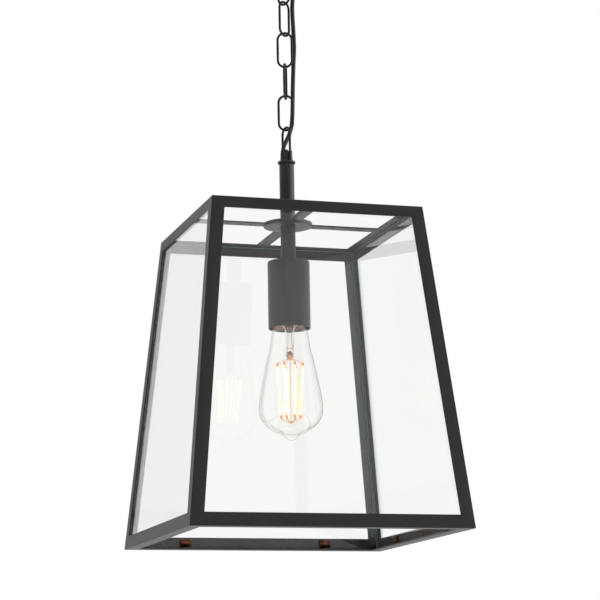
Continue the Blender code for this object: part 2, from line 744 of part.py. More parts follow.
def build_rose(rose):
    plate = turned(
        "ceiling_plate",
        [(0, -PLATE_THICKNESS), (PLATE_RADIUS, -PLATE_THICKNESS), (PLATE_RADIUS, 0), (0, 0)],
        "zinc_steel",
        rose,
        steps=40,
    )
    for number, side in ((1, -1), (2, 1)):
        hole = bmesh.new()
        bmesh.ops.create_cone(
            hole,
            cap_ends=True,
            segments=20,
            radius1=PLATE_SCREW_RADIUS,
            radius2=PLATE_SCREW_RADIUS,
            depth=4 * PLATE_THICKNESS,
            matrix=Matrix.Translation((0, side * PLATE_SCREW_SPREAD / 2, 0)),
        )
        boolean(plate, solid(f"plate_hole_{number}", hole, "zinc_steel", rose), "DIFFERENCE")
    nut_top = -PLATE_THICKNESS - GAP
    nut_bore = HOOK_WIRE / 2 + GAP
    nut = [
        (nut_bore, nut_top - HOOK_NUT_HEIGHT),
        (HOOK_NUT_RADIUS, nut_top - HOOK_NUT_HEIGHT),
        (HOOK_NUT_RADIUS, nut_top),
        (nut_bore, nut_top),
    ]
    turned("hook_nut", nut, "zinc_steel", rose, steps=6)
    build_rose_cover(rose)
    ring_top = ROSE_FLOOR - GAP
    ring = [
        (nut_bore, ring_top - RING_NUT_HEIGHT),
        (0.8 * RING_NUT_RADIUS, ring_top - RING_NUT_HEIGHT),
        (RING_NUT_RADIUS, ring_top - 0.7 * RING_NUT_HEIGHT),
        (RING_NUT_RADIUS, ring_top),
        (nut_bore, ring_top),
    ]
    turned("ring_nut", ring, "black_satin_paint", rose, steps=24)
    wire("ceiling_hook", hook_points(), HOOK_WIRE / 2, "black_satin_paint", rose, resolution=3)


def build_rose_cover(rose):
    """The cup that covers the plate, open against the ceiling, with a rounded edge and two holes in its floor."""
    hole = HOOK_WIRE / 2 + 2 * GAP
    inner_radius = ROSE_RADIUS - ROSE_WALL
    inner_edge = ROSE_EDGE - ROSE_WALL
    bend = ROSE_RADIUS - ROSE_EDGE
    bend_z = ROSE_FLOOR + ROSE_EDGE
    outer = [(ROSE_RADIUS, -GAP)]
    inner = [(inner_radius, -GAP)]
    for k in range(6):
        turn = math.pi / 2 * k / 5
        outer.append((bend + ROSE_EDGE * math.cos(turn), bend_z - ROSE_EDGE * math.sin(turn)))
        inner.append((bend + inner_edge * math.cos(turn), bend_z - inner_edge * math.sin(turn)))
    outline = [*outer, (hole, ROSE_FLOOR), (hole, ROSE_FLOOR + ROSE_WALL), *reversed(inner)]
    cover = turned("rose_cover", outline, "black_satin_paint", rose, steps=48)
    opening = bmesh.new()
    bmesh.ops.create_cone(
        opening,
        cap_ends=True,
        segments=24,
        radius1=GRIP_RADIUS + GAP,
        radius2=GRIP_RADIUS + GAP,
        depth=6 * ROSE_WALL,
        matrix=Matrix.Translation((FLEX_X, 0, ROSE_FLOOR)),
    )
    boolean(cover, solid("flex_hole", opening, "black_satin_paint", rose), "DIFFERENCE")


def hook_points():
    """Down the shank, out to one side, round under the bowl and up to the tip."""
    way = heading(HOOK_YAW)
    centre = -HOOK_DROP + HOOK_BOWL
    shank_top = -PLATE_THICKNESS - 2 * GAP
    marks = [(0, shank_top), (0, (shank_top + centre) / 2), (0, centre + 1.75 * HOOK_BOWL)]
    marks.append((0.12 * HOOK_BOWL, centre + 1.35 * HOOK_BOWL))
    marks.append((0.62 * HOOK_BOWL, centre + 0.90 * HOOK_BOWL))
    for k in range(9):
        turn = math.radians(20 - 200 * k / 8)
        marks.append((HOOK_BOWL * math.cos(turn), centre + HOOK_BOWL * math.sin(turn)))
    marks.append((-1.06 * HOOK_BOWL, centre + 0.6 * HOOK_BOWL))
    return smooth_line([way * side + Vector((0, 0, height)) for side, height in marks], 3)


def flex_route():
    """The free flex's own points, from the rose's grip to the yoke, in metres. It hangs beside the chain,
    goes through the last link and down beside the yoke's bridge."""
    beside_bridge = heading(YOKE_YAW - math.pi / 2) * FLEX_OFFSET
    points = [
        (FLEX_X, 0.0, FLEX_EXIT - GAP),
        (FLEX_X, 0.0, -0.0560),
        (0.0192, 0.0008, -0.0645),
        (0.0148, 0.0018, -0.0735),
        (0.0116, 0.0020, -0.0825),
        (0.0098, 0.0021, -0.0920),
        (0.0094, 0.0019, -0.1050),
        (0.0100, 0.0017, -0.1220),
        (0.0105, 0.0015, -0.1420),
        (0.0096, 0.0016, -0.1590),
        (0.0088, 0.0018, -0.1770),
        (0.0083, 0.0021, -0.1940),
        (0.0078, 0.0024, -0.2120),
        (0.0069, 0.0026, -0.2230),
        (0.0054, 0.0025, -0.2300),
        (0.0027, 0.0017, -0.2370),
        (-0.0007, 0.0005, -0.2435),
        (-0.0029, -0.0005, -0.2485),
    ]
    for height in (YOKE_TOP, YOKE_TOP - YOKE_HEIGHT / 2, YOKE_BOTTOM + GAP):
        points.append((beside_bridge.x, beside_bridge.y, LANTERN_BASE + height))
    return points


def build_flex(rose, lantern):
    wire("flex", smooth_line(flex_route(), 3), FLEX / 2, "black_flex_pvc", rose)
    tail = [(FLEX_X, 0, height) for height in (-PLATE_THICKNESS - TERMINAL_SIZE[2] - 0.0040, FLEX_EXIT + GAP)]
    wire("flex_in_rose", tail, FLEX / 2, "black_flex_pvc", rose)
    beside_bridge = heading(YOKE_YAW - math.pi / 2) * FLEX_OFFSET
    run = [
        (*beside_bridge.xy, YOKE_BOTTOM - GAP),
        (*beside_bridge.xy, YOKE_BOTTOM - YOKE_SPIGOT),
        (*(beside_bridge * 0.5).xy, YOKE_BOTTOM - 3 * YOKE_SPIGOT),
        (0, 0, YOKE_BOTTOM - 5 * YOKE_SPIGOT),
        (0, 0, STEM_BOTTOM + 2 * NIPPLE_IN_STEM),
        (0, 0, SOCKET_TOP - GAP),
    ]
    wire("flex_in_stem", smooth_line(run, 4), FLEX / 2, "black_flex_pvc", lantern, (0, 0, LANTERN_BASE))
    bore = FLEX / 2 + GAP
    grip = [
        (bore, FLEX_EXIT),
        (GRIP_TIP, FLEX_EXIT),
        (GRIP_TIP * 1.1, ROSE_FLOOR - 0.4 * GRIP_LENGTH),
        (GRIP_FLANGE, ROSE_FLOOR - 0.2 * GRIP_LENGTH),
        (GRIP_FLANGE, ROSE_FLOOR - GAP),
        (GRIP_RADIUS, ROSE_FLOOR - GAP),
        (GRIP_RADIUS, ROSE_FLOOR + GRIP_TOP),
        (bore, ROSE_FLOOR + GRIP_TOP),
    ]
    turned("cord_grip", grip, "black_flex_pvc", rose, (FLEX_X, 0, 0), steps=20)
    size = Vector(TERMINAL_SIZE)
    top = -PLATE_THICKNESS - 0.0030
    low = (FLEX_X - size.x / 2, -size.y / 2, top - size.z)
    block = box_mesh(low, (FLEX_X + size.x / 2, size.y / 2, top))
    solid("terminal_block", block, "white_polyamide", rose)


def build():
    clear_scene()
    rose = pivot("rose_mount", (0, 0, 0))
    build_rose(rose)
    last_link = build_chain(rose)
    lantern = pivot("lantern_pivot", (0, 0, BRIDGE_Z), last_link)
    build_yoke(lantern)
    build_stem(lantern)
    build_hub(lantern)
    build_frame(lantern)
    build_lampholder(lantern)
    travel = pivot("bulb_travel_pivot", (0, 0, LANTERN_BASE + PELLET_BOTTOM), lantern)
    spinning = pivot("bulb_turn_pivot", (0, 0, LANTERN_BASE + CAP_BOTTOM), travel)
    build_bulb(travel, spinning)
    build_flex(rose, lantern)


build()
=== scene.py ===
"""A glazed hanging lantern, dressed over its fixed frame: the welded frame with its four panes and clips, the
lampholder and its filament lamp, the stem with its slotted yoke, the chain and flex, and the ceiling rose.

Metres, +Z up, from the middle of the rose's face on the ceiling. Inside the lantern, heights are above the
underside of its base ring.
"""

import math

import bmesh
import bpy
from mathutils import Matrix, Vector


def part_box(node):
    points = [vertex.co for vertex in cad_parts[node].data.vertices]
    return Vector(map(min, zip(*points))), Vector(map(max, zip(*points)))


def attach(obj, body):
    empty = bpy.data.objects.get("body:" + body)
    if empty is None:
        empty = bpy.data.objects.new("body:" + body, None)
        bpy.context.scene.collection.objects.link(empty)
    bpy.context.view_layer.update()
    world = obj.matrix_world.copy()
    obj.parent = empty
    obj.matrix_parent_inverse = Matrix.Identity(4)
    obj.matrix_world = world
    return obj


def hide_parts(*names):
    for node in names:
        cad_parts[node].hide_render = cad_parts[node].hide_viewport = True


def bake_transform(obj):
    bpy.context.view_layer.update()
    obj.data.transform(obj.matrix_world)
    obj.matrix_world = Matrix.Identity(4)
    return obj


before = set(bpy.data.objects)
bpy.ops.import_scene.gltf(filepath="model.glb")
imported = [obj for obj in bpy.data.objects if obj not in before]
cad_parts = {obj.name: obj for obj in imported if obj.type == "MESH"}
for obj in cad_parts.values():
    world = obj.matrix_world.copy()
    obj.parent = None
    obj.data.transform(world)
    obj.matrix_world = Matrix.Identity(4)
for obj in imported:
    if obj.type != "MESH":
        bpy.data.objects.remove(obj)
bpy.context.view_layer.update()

MM = 0.001
GAP = 0.0003  # clearance between pieces that touch
SHARP = math.radians(30)  # an edge is sharp when its faces turn by more than this
SIDES = ("front", "right", "back", "left")

# Lantern frame
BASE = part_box("bottom_rail_front")[0].z
BASE_WIDTH = 0.276
TOP_WIDTH = 0.2115
FRAME_HEIGHT = 0.3155
SHEET = 0.0016
POST_LEG = 0.0130
BOTTOM_LEG = 0.0130
TOP_LEG = 0.0112
FLANGE = 0.0130
GLASS_THICKNESS = 0.0028
FRAME_LEAN = (BASE_WIDTH - TOP_WIDTH) / 2 / FRAME_HEIGHT
LEAN_STRETCH = math.hypot(1, FRAME_LEAN)
SHEET_ACROSS = SHEET * LEAN_STRETCH
GLASS_ACROSS = GLASS_THICKNESS * LEAN_STRETCH
ARM_WIDTH = 0.0130
FOLD = 0.0005  # radius of the frame's folded and ground edges

# Glass clips
CLIP_WIDTH = 0.0110
CLIP_HEIGHT = 0.0075
CLIP_FOOT = 0.0040
CLIP_SHEET = 0.0006
CLIP_LIP = 0.0014
CLIP_SPREAD = 0.150

# Hub, stem and yoke
HUB_RADIUS = 0.02445
HUB_LOW = 0.3130
HUB_HIGH = 0.3170
STEM_RADIUS = 0.0075
STEM_BORE = 0.0063
STEM_LOW = 0.2775
STEM_HIGH = 0.3784
COLLAR_RADIUS = 0.00905
COLLAR_HEIGHT = 0.0029
YOKE_LOW = 0.3787
YOKE_HIGH = 0.3930
YOKE_RADIUS = 0.00645
YOKE_TOP_RADIUS = 0.0059
YOKE_SPIGOT = 0.0100
YOKE_SLOT = 0.0032
YOKE_YAW = math.radians(-76)
BRIDGE_RADIUS = 0.0033
BRIDGE_HEIGHT = 0.38585
FLEX_OFFSET = 0.0037  # the flex beside the bridge, from the stem's axis

# Lampholder
CUP_RADIUS = 0.0211
CUP_WALL = 0.0012
CUP_LOW = 0.2092
CUP_HIGH = 0.2772
CUP_EDGE = 0.0008
SOCKET_RADIUS = 0.0190
SOCKET_LOW = 0.2139
SOCKET_HIGH = 0.2627
SOCKET_CAVITY = 0.0315
SOCKET_BORE = 0.0036
SHELL_RADIUS = 0.0142
SHELL_WALL = 0.0006
SHELL_LOW = 0.2159
SHELL_HIGH = 0.2369
NIPPLE_HOLE = 0.0053

# Lamp
CAP_RADIUS = 0.0131
CAP_WALL = 0.0005
CAP_LOW = 0.2149
THREAD_LOW = 0.2169
THREAD_HIGH = 0.2344
CAP_HIGH = 0.2364
THREAD_PITCH = 0.003629
THREAD_DEPTH = 0.0008
INSULATOR_RADIUS = 0.0088
BULB_RADIUS = 0.0320
BULB_LENGTH = 0.1180
BULB_WALL = 0.0005
NECK_RADIUS = 0.0122
CAGE_TOP = 0.1729
CAGE_LOW = 0.1199
CAGE_TOP_RADIUS = 0.0145
CAGE_LOW_RADIUS = 0.0110
STICK_RADIUS = 0.0009
STICKS = 8
STICK_TURN = math.radians(3.75)  # the first stick's way from +X
STICK_TAB = 0.0030  # the bare metal at each end of a stick

# Chain
LINK_LENGTH = 0.0386
LINK_WIDTH = 0.0168
LINK_WIRE = 0.00245
LINK_YAWS = (123, 33, -17, 65, -17, -76)

# Ceiling rose
ROSE_RADIUS = 0.0500
ROSE_DEPTH = 0.0320
ROSE_WALL = 0.0012
ROSE_EDGE = 0.0070
PLATE_UNDERSIDE = -0.0025
RING_NUT_RADIUS = 0.0080
RING_NUT_HEIGHT = 0.0060
HOOK_WIRE = 0.0040
HOOK_BOWL = 0.0080
HOOK_DROP = 0.06425
HOOK_YAW = math.radians(33)

# Flex
FLEX = 0.0044
FLEX_X = 0.0210
GRIP_RADIUS = 0.0040
GRIP_TIP = 0.0033
GRIP_FLANGE = 0.0065
GRIP_TOP = 0.0040
GRIP_LENGTH = 0.0175
FLEX_ROUTE = [
    (0.0210, 0.0, -0.0498), (0.0210, 0.0, -0.0560), (0.0192, 0.0008, -0.0645), (0.0148, 0.0018, -0.0735),
    (0.0116, 0.0020, -0.0825), (0.0098, 0.0021, -0.0920), (0.0094, 0.0019, -0.1050),
    (0.0100, 0.0017, -0.1220), (0.0105, 0.0015, -0.1420), (0.0096, 0.0016, -0.1590),
    (0.0088, 0.0018, -0.1770), (0.0083, 0.0021, -0.1940), (0.0078, 0.0024, -0.2120),
    (0.0069, 0.0026, -0.2230), (0.0054, 0.0025, -0.2300), (0.0027, 0.0017, -0.2370),
    (-0.0007, 0.0005, -0.2435), (-0.0029, -0.0005, -0.2485), (-0.00359, -0.000895, -0.2519),
    (-0.00359, -0.000895, -0.25905), (-0.00359, -0.000895, -0.2659),
]
FLEX_CUTS = (-0.0498, -0.0787, -0.1100, -0.1412, -0.1724, -0.2036, -0.2348, -0.2659)

# Camera, with its turns in degrees, and studio
CAMERA_PLACE = (-0.60227, -2.00181, -0.81673)
CAMERA_YAW = -17.050951
CAMERA_PITCH = 11.108146
CAMERA_ROLL = -0.994910
CAMERA_LENS = 127.92
AHEAD = (0.288, 0.957, 0.0)  # the level way that the camera looks
RIGHTWARDS = (0.957, -0.288, 0.0)
FLOOR_RADIUS = 7.0
FLOOR_HEIGHT = -2.4


# ---------------------------------------------------------------- shared tools


def linear(hex_value):
    """A linear RGBA colour from sRGB hex."""
    levels = [int(hex_value[k : k + 2], 16) / 255 for k in (0, 2, 4)]
    return (*[v / 12.92 if v <= 0.04045 else ((v + 0.055) / 1.055) ** 2.4 for v in levels], 1.0)


def per_metre(millimetres):
    """The pattern scale that makes one repeat that many millimetres wide."""
    return 1 / (millimetres * MM)


def add(tree, kind, settings=(), inputs=()):
    """Adds a node. Its settings are its own properties, with stops for a ramp, and its inputs are values or
    sockets."""
    made = tree.nodes.new(kind)
    for name, value in dict(settings).items():
        if name == "stops":
            ramp = made.color_ramp
            while len(ramp.elements) < len(value):
                ramp.elements.new(0.5)
            for element, (place, colour) in zip(ramp.elements, value):
                element.position = place
                element.color = colour
        else:
            setattr(made, name, value)
    for name, value in dict(inputs).items():
        if isinstance(value, bpy.types.NodeSocket):
            tree.links.new(value, made.inputs[name])
        else:
            made.inputs[name].default_value = value
    return made


def new_finish(name):
    """An empty material with its node tree and the piece's own coordinates."""
    finish = bpy.data.materials.new(name)
    finish.use_nodes = True
    tree = finish.node_tree
    tree.nodes.clear()
    return finish, tree, add(tree, "ShaderNodeTexCoord").outputs["Object"]


def put_out(tree, shader):
    add(tree, "ShaderNodeOutputMaterial", (), {"Surface": shader})


def smooth_line(points, per_span):
    """Points along a smooth curve that passes through the given ones."""
    points = [Vector(p) for p in points]
    ends = [2 * points[0] - points[1], *points, 2 * points[-1] - points[-2]]
    line = []
    for a, b, c, d in zip(ends, ends[1:], ends[2:], ends[3:]):
        for k in range(per_span):
            t = k / per_span
            line.append(
                (
                    2 * b + (c - a) * t + (2 * a - 5 * b + 4 * c - d) * t**2 + (3 * b - a - 3 * c + d) * t**3
                ) / 2,
            )
    return [*line, points[-1]]


def heading(yaw):
    """The level direction at that angle from +X."""
    return Vector((math.cos(yaw), math.sin(yaw), 0))


def quarter_turn(k):
    return Matrix.Rotation(k * math.pi / 2, 4, "Z")


def half_width(height):
    """From the lantern's axis to its outer face, at a height above its base."""
    return BASE_WIDTH / 2 - FRAME_LEAN * height


def close_up(bm):
    """Merges the seams and poles, and turns the faces outwards."""
    bmesh.ops.remove_doubles(bm, verts=bm.verts, dist=1e-6)
    bmesh.ops.recalc_face_normals(bm, faces=bm.faces)


def face_down(bm):
    """Turns an open sheet over if its lowest face doesn't face down."""
    lowest = min(bm.faces, key=lambda face: (round(face.calc_center_median().z, 6), -abs(face.normal.z)))
    if lowest.normal.z > 0:
        bmesh.ops.reverse_faces(bm, faces=bm.faces)


def verts_in(parts):
    return [part for part in parts if isinstance(part, bmesh.types.BMVert)]


def modify(made, name, kind, **settings):
    """Adds a modifier to a finished piece, with its settings."""
    modifier = made.modifiers.new(name, kind)
    for setting, value in settings.items():
        setattr(modifier, setting, value)


def soften(bm, width, segments=2):
    """Rounds every sharp edge."""
    sharp = [e for e in bm.edges if e.is_manifold and e.calc_face_angle(0) > SHARP]
    bmesh.ops.bevel(
        bm, geom=sharp, offset=width, segments=segments, profile=0.5, affect="EDGES", material=-1,
        clamp_overlap=True,
    )


def spun(outline, steps=96, edge=0.0):
    """A body turned round Z from its outline of (radius, height), with edges rounded to that radius."""
    bm = bmesh.new()
    verts = [bm.verts.new((radius, 0, height)) for radius, height in outline]
    edges = [bm.edges.new(pair) for pair in zip(verts, verts[1:])]
    if outline[0][0] > 0 or outline[-1][0] > 0:
        edges.append(bm.edges.new((verts[-1], verts[0])))
    bmesh.ops.spin(
        bm, geom=verts + edges, cent=(0, 0, 0), axis=(0, 0, 1), angle=math.tau, steps=steps, use_merge=True
    )
    close_up(bm)
    if edge:
        soften(bm, edge)
    return bm


def headings_along(points, closed=False):
    """The way that a line runs at each of its points."""
    last = len(points) - 1
    ways = []
    for k in range(len(points)):
        before = points[k - 1] if k or closed else points[0]
        after = points[(k + 1) % len(points)] if k < last or closed else points[last]
        ways.append((after - before).normalized())
    return ways


def drawn(points, radius, segments=16, closed=False, ways=None, shares=None):
    """A round wire drawn along points. Shares, if given, are its thickness at each of them."""
    points = [Vector(p) for p in points]
    ways = ways or headings_along(points, closed)
    shares = shares or [1] * len(points)
    start = Matrix.Translation(points[0]) @ ways[0].to_track_quat("Z", "Y").to_matrix().to_4x4()
    bm = bmesh.new()
    bmesh.ops.create_circle(
        bm, segments=segments, radius=radius * shares[0], cap_ends=not closed, matrix=start,
    )
    first = ring = list(bm.edges)
    for k in range(1, len(points)):
        grown = bmesh.ops.extrude_edge_only(bm, edges=ring)["geom"]
        verts = verts_in(grown)
        ring = [g for g in grown if isinstance(g, bmesh.types.BMEdge) and g.is_boundary]
        turn = ways[k - 1].rotation_difference(ways[k]).to_matrix().to_4x4()
        grow = Matrix.Scale(shares[k] / shares[k - 1], 4)
        move = Matrix.Translation(points[k]) @ turn @ grow @ Matrix.Translation(-points[k - 1])
        bmesh.ops.transform(bm, matrix=move, verts=verts)
    if closed:
        bmesh.ops.bridge_loops(bm, edges=first + ring)
    else:
        bmesh.ops.edgeloop_fill(bm, edges=ring)
    close_up(bm)
    return bm


def block(low, high):
    """A rectangular solid between two corners."""
    bm = bmesh.new()
    size = Vector(high) - Vector(low)
    middle = (Vector(high) + Vector(low)) / 2
    bmesh.ops.create_cube(bm, size=1, matrix=Matrix.Translation(middle) @ Matrix.Diagonal((*size, 1)))
    return bm


def rod(radius, length, place, segments=48):
    """A straight solid rod centred at a place, for cutting and adding."""
    bm = bmesh.new()
    bmesh.ops.create_cone(
        bm, cap_ends=True, segments=segments, radius1=radius, radius2=radius, depth=length, matrix=place
    )
    return bm


def as_mesh(name, bm, lift=0.0):
    bm.transform(Matrix.Translation((0, 0, lift)))
    mesh = bpy.data.meshes.new(name)
    bm.to_mesh(mesh)
    bm.free()
    return mesh


def piece(name, bm, body, finishes, replaced=(), lift=0.0, smooth_to=35):
    """Puts a finished bmesh into the scene as a piece that rides on a body, in place of some fixed nodes."""
    mesh = as_mesh(name, bm, lift)
    for finish in finishes if isinstance(finishes, (list, tuple)) else [finishes]:
        mesh.materials.append(finish)
    mesh.shade_smooth()
    mesh.set_sharp_from_angle(angle=math.radians(smooth_to))
    made = bpy.data.objects.new(name, mesh)
    bpy.context.scene.collection.objects.link(made)
    if body:
        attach(made, body)
    if replaced:
        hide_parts(*replaced)
    return made


def cut(bm, steps):
    """The solid after each (operation, other solid) in turn, as a new bmesh."""
    helpers = [bpy.data.objects.new("worked", as_mesh("worked", bm))]
    for operation, other in steps:
        tool = bpy.data.objects.new("tool", as_mesh("tool", other))
        modifier = helpers[0].modifiers.new("cut", "BOOLEAN")
        modifier.operation = operation
        modifier.solver = "EXACT"
        modifier.object = tool
        helpers.append(tool)
    for helper in helpers:
        bpy.context.scene.collection.objects.link(helper)
    graph = bpy.context.evaluated_depsgraph_get()
    done = bmesh.new()
    done.from_object(helpers[0], graph)
    meshes = [helper.data for helper in helpers]
    for helper in helpers:
        bpy.data.objects.remove(helper)
    for mesh in meshes:
        bpy.data.meshes.remove(mesh)
    bmesh.ops.remove_doubles(done, verts=done.verts, dist=1e-6)
    bmesh.ops.recalc_face_normals(done, faces=done.faces)
    return done


# ---------------------------------------------------------------- finishes


def powder_coat(name, hex_value, lighter, roughness, pebble):
    """Mild steel under a baked polyester powder coat. It gives a near-black satin skin with a fine pebbled
    surface, slightly uneven in gloss, so that edges catch a soft line of light and flats stay quiet."""
    finish, tree, place = new_finish(name)
    drift = add(tree, "ShaderNodeTexNoise", (), {"Vector": place, "Scale": per_metre(60), "Detail": 3.0})
    grain = add(tree, "ShaderNodeTexNoise", (), {
        "Vector": place, "Scale": per_metre(pebble), "Detail": 4.0, "Roughness": 0.6,
    })
    specks = add(tree, "ShaderNodeTexVoronoi", (), {"Vector": place, "Scale": per_metre(1.6 * pebble)})
    colour = add(tree, "ShaderNodeValToRGB", {"stops": [(0.3, linear(hex_value)), (0.7, linear(lighter))]}, {
        "Fac": drift.outputs["Fac"]
    })
    gloss = add(tree, "ShaderNodeMapRange", (), {
        "Value": grain.outputs["Fac"], "To Min": roughness - 0.06, "To Max": roughness + 0.08,
    })
    height = add(tree, "ShaderNodeMath", {"operation": "MULTIPLY_ADD"}, {
        0: specks.outputs["Distance"], 1: 0.5, 2: grain.outputs["Fac"],
    })
    bump = add(tree, "ShaderNodeBump", (), {
        "Height": height.outputs["Value"], "Strength": 0.22, "Distance": 0.08 * MM,
    })
    shader = add(tree, "ShaderNodeBsdfPrincipled", (), {
        "Base Color": colour.outputs["Color"], "Roughness": gloss.outputs["Result"],
        "Normal": bump.outputs["Normal"], "IOR": 1.5,
    })
    put_out(tree, shader.outputs["BSDF"])
    return finish


def chain_enamel():
    """Bent and butt-closed steel wire, dipped in black stoving enamel. It gives a darker, glossier skin than
    the frame, with thin spots where the links rub and the steel shows a little."""
    finish, tree, place = new_finish("dipped_black_enamel_on_steel_wire")
    grain = add(tree, "ShaderNodeTexNoise", (), {"Vector": place, "Scale": per_metre(3), "Detail": 5.0})
    rubs = add(tree, "ShaderNodeTexNoise", (), {
        "Vector": place, "Scale": per_metre(2.4), "Detail": 3.0, "Roughness": 0.6,
    })
    wear = add(tree, "ShaderNodeMapRange", (), {
        "Value": rubs.outputs["Fac"], "From Min": 0.70, "From Max": 0.90, "To Min": 0.0, "To Max": 0.3,
    })
    colour = add(tree, "ShaderNodeMix", {"data_type": "RGBA"}, {
        "Factor": wear.outputs["Result"], "A": linear("0d0c0b"), "B": linear("2a2723"),
    })
    gloss = add(
        tree, "ShaderNodeMapRange", (), {"Value": grain.outputs["Fac"], "To Min": 0.34, "To Max": 0.46}
    )
    bump = add(
        tree, "ShaderNodeBump", (), {"Height": grain.outputs["Fac"], "Strength": 0.2, "Distance": 0.05 * MM}
    )
    shader = add(tree, "ShaderNodeBsdfPrincipled", (), {
        "Base Color": colour.outputs[2], "Roughness": gloss.outputs["Result"],
        "Metallic": wear.outputs["Result"], "Normal": bump.outputs["Normal"], "IOR": 1.5,
        "Specular IOR Level": 0.4,
    })
    put_out(tree, shader.outputs["BSDF"])
    return finish


def flex_sheath():
    """Extruded black PVC round cable. It gives a soft, slightly greasy black with faint lengthwise drag
    lines."""
    finish, tree, place = new_finish("extruded_black_pvc_sheath")
    stretched = add(tree, "ShaderNodeMapping", (), {"Vector": place, "Scale": (1.0, 1.0, 0.06)})
    drag = add(tree, "ShaderNodeTexNoise", (), {
        "Vector": stretched.outputs["Vector"], "Scale": per_metre(0.7), "Detail": 4.0,
    })
    bloom = add(tree, "ShaderNodeTexNoise", (), {"Vector": place, "Scale": per_metre(12), "Detail": 2.0})
    colour = add(tree, "ShaderNodeMix", {"data_type": "RGBA"}, {
        "Factor": bloom.outputs["Fac"], "A": linear("131311"), "B": linear("22221f"),
    })
    gloss = add(
        tree, "ShaderNodeMapRange", (), {"Value": drag.outputs["Fac"], "To Min": 0.38, "To Max": 0.58}
    )
    bump = add(
        tree, "ShaderNodeBump", (), {"Height": drag.outputs["Fac"], "Strength": 0.25, "Distance": 0.04 * MM}
    )
    shader = add(tree, "ShaderNodeBsdfPrincipled", (), {
        "Base Color": colour.outputs[2], "Roughness": gloss.outputs["Result"],
        "Normal": bump.outputs["Normal"], "IOR": 1.53, "Specular IOR Level": 0.4,
    })
    put_out(tree, shader.outputs["BSDF"])
    return finish


def clear_glass(name, tint, rim, roughness, wave_size, wave_height):
    """Clear soda-lime glass. It lets nearly everything through, mirrors a little more at a slant, greys where
    the eye looks along the wall, and its faint waviness bends a reflection. Lamps shine straight through
    it."""
    finish, tree, place = new_finish(name)
    waves = add(tree, "ShaderNodeTexNoise", (), {
        "Vector": place, "Scale": per_metre(wave_size), "Detail": 2.0,
    })
    wipes = add(tree, "ShaderNodeTexNoise", (), {
        "Vector": place, "Scale": per_metre(22), "Detail": 5.0, "Distortion": 0.6,
    })
    bump = add(tree, "ShaderNodeBump", (), {
        "Height": waves.outputs["Fac"], "Strength": 0.3, "Distance": wave_height * MM,
    })
    haze = add(tree, "ShaderNodeMapRange", (), {
        "Value": wipes.outputs["Fac"], "From Min": 0.45, "From Max": 0.80, "To Min": roughness,
        "To Max": roughness + 0.012,
    })
    slant = add(tree, "ShaderNodeLayerWeight", (), {"Blend": 0.5, "Normal": bump.outputs["Normal"]})
    stops = [(0.45, linear(tint)), (1.0, linear(rim))]
    colour = add(tree, "ShaderNodeValToRGB", {"stops": stops}, {"Fac": slant.outputs["Facing"]})
    glass = add(tree, "ShaderNodeBsdfPrincipled", (), {
        "Base Color": colour.outputs["Color"], "Roughness": haze.outputs["Result"],
        "Transmission Weight": 1.0, "IOR": 1.45, "Normal": bump.outputs["Normal"],
    })
    through = add(tree, "ShaderNodeBsdfTransparent", (), {"Color": linear(tint)})
    path = add(tree, "ShaderNodeLightPath")
    mixed = add(tree, "ShaderNodeMixShader", (), {
        0: path.outputs["Is Shadow Ray"], 1: glass.outputs["BSDF"], 2: through.outputs["BSDF"],
    })
    put_out(tree, mixed.outputs["Shader"])
    return finish


def ground_edge():
    """The cut and ground edge of float glass. It gives a dull green line, as light runs down the sheet."""
    finish, tree, place = new_finish("ground_float_glass_edge")
    grit = add(tree, "ShaderNodeTexNoise", (), {"Vector": place, "Scale": per_metre(0.4), "Detail": 4.0})
    colour = add(tree, "ShaderNodeMix", {"data_type": "RGBA"}, {
        "Factor": grit.outputs["Fac"], "A": linear("5f8a78"), "B": linear("a9c9bb"),
    })
    bump = add(
        tree, "ShaderNodeBump", (), {"Height": grit.outputs["Fac"], "Strength": 0.5, "Distance": 0.05 * MM}
    )
    shader = add(tree, "ShaderNodeBsdfPrincipled", (), {
        "Base Color": colour.outputs[2], "Roughness": 0.55, "Transmission Weight": 0.5, "IOR": 1.5,
        "Normal": bump.outputs["Normal"],
    })
    put_out(tree, shader.outputs["BSDF"])
    return finish


def worked_metal(name, hex_value, darker, roughness, stretch, grain_size, depth):
    """A bare or plated metal with the marks of how it was worked: stretch draws the grain out along one
    way."""
    finish, tree, place = new_finish(name)
    drawn_out = add(tree, "ShaderNodeMapping", (), {"Vector": place, "Scale": stretch})
    grain = add(tree, "ShaderNodeTexNoise", (), {
        "Vector": drawn_out.outputs["Vector"], "Scale": per_metre(grain_size), "Detail": 5.0,
    })
    tarnish = add(tree, "ShaderNodeTexNoise", (), {
        "Vector": place, "Scale": per_metre(7), "Detail": 5.0, "Roughness": 0.6,
    })
    stops = [(0.35, linear(darker)), (0.65, linear(hex_value))]
    colour = add(tree, "ShaderNodeValToRGB", {"stops": stops}, {"Fac": tarnish.outputs["Fac"]})
    gloss = add(tree, "ShaderNodeMapRange", (), {
        "Value": grain.outputs["Fac"], "To Min": roughness - 0.08, "To Max": roughness + 0.12,
    })
    bump = add(
        tree, "ShaderNodeBump", (), {"Height": grain.outputs["Fac"], "Strength": 0.3, "Distance": depth * MM}
    )
    shader = add(tree, "ShaderNodeBsdfPrincipled", (), {
        "Base Color": colour.outputs["Color"], "Metallic": 1.0, "Roughness": gloss.outputs["Result"],
        "Normal": bump.outputs["Normal"],
    })
    put_out(tree, shader.outputs["BSDF"])
    return finish


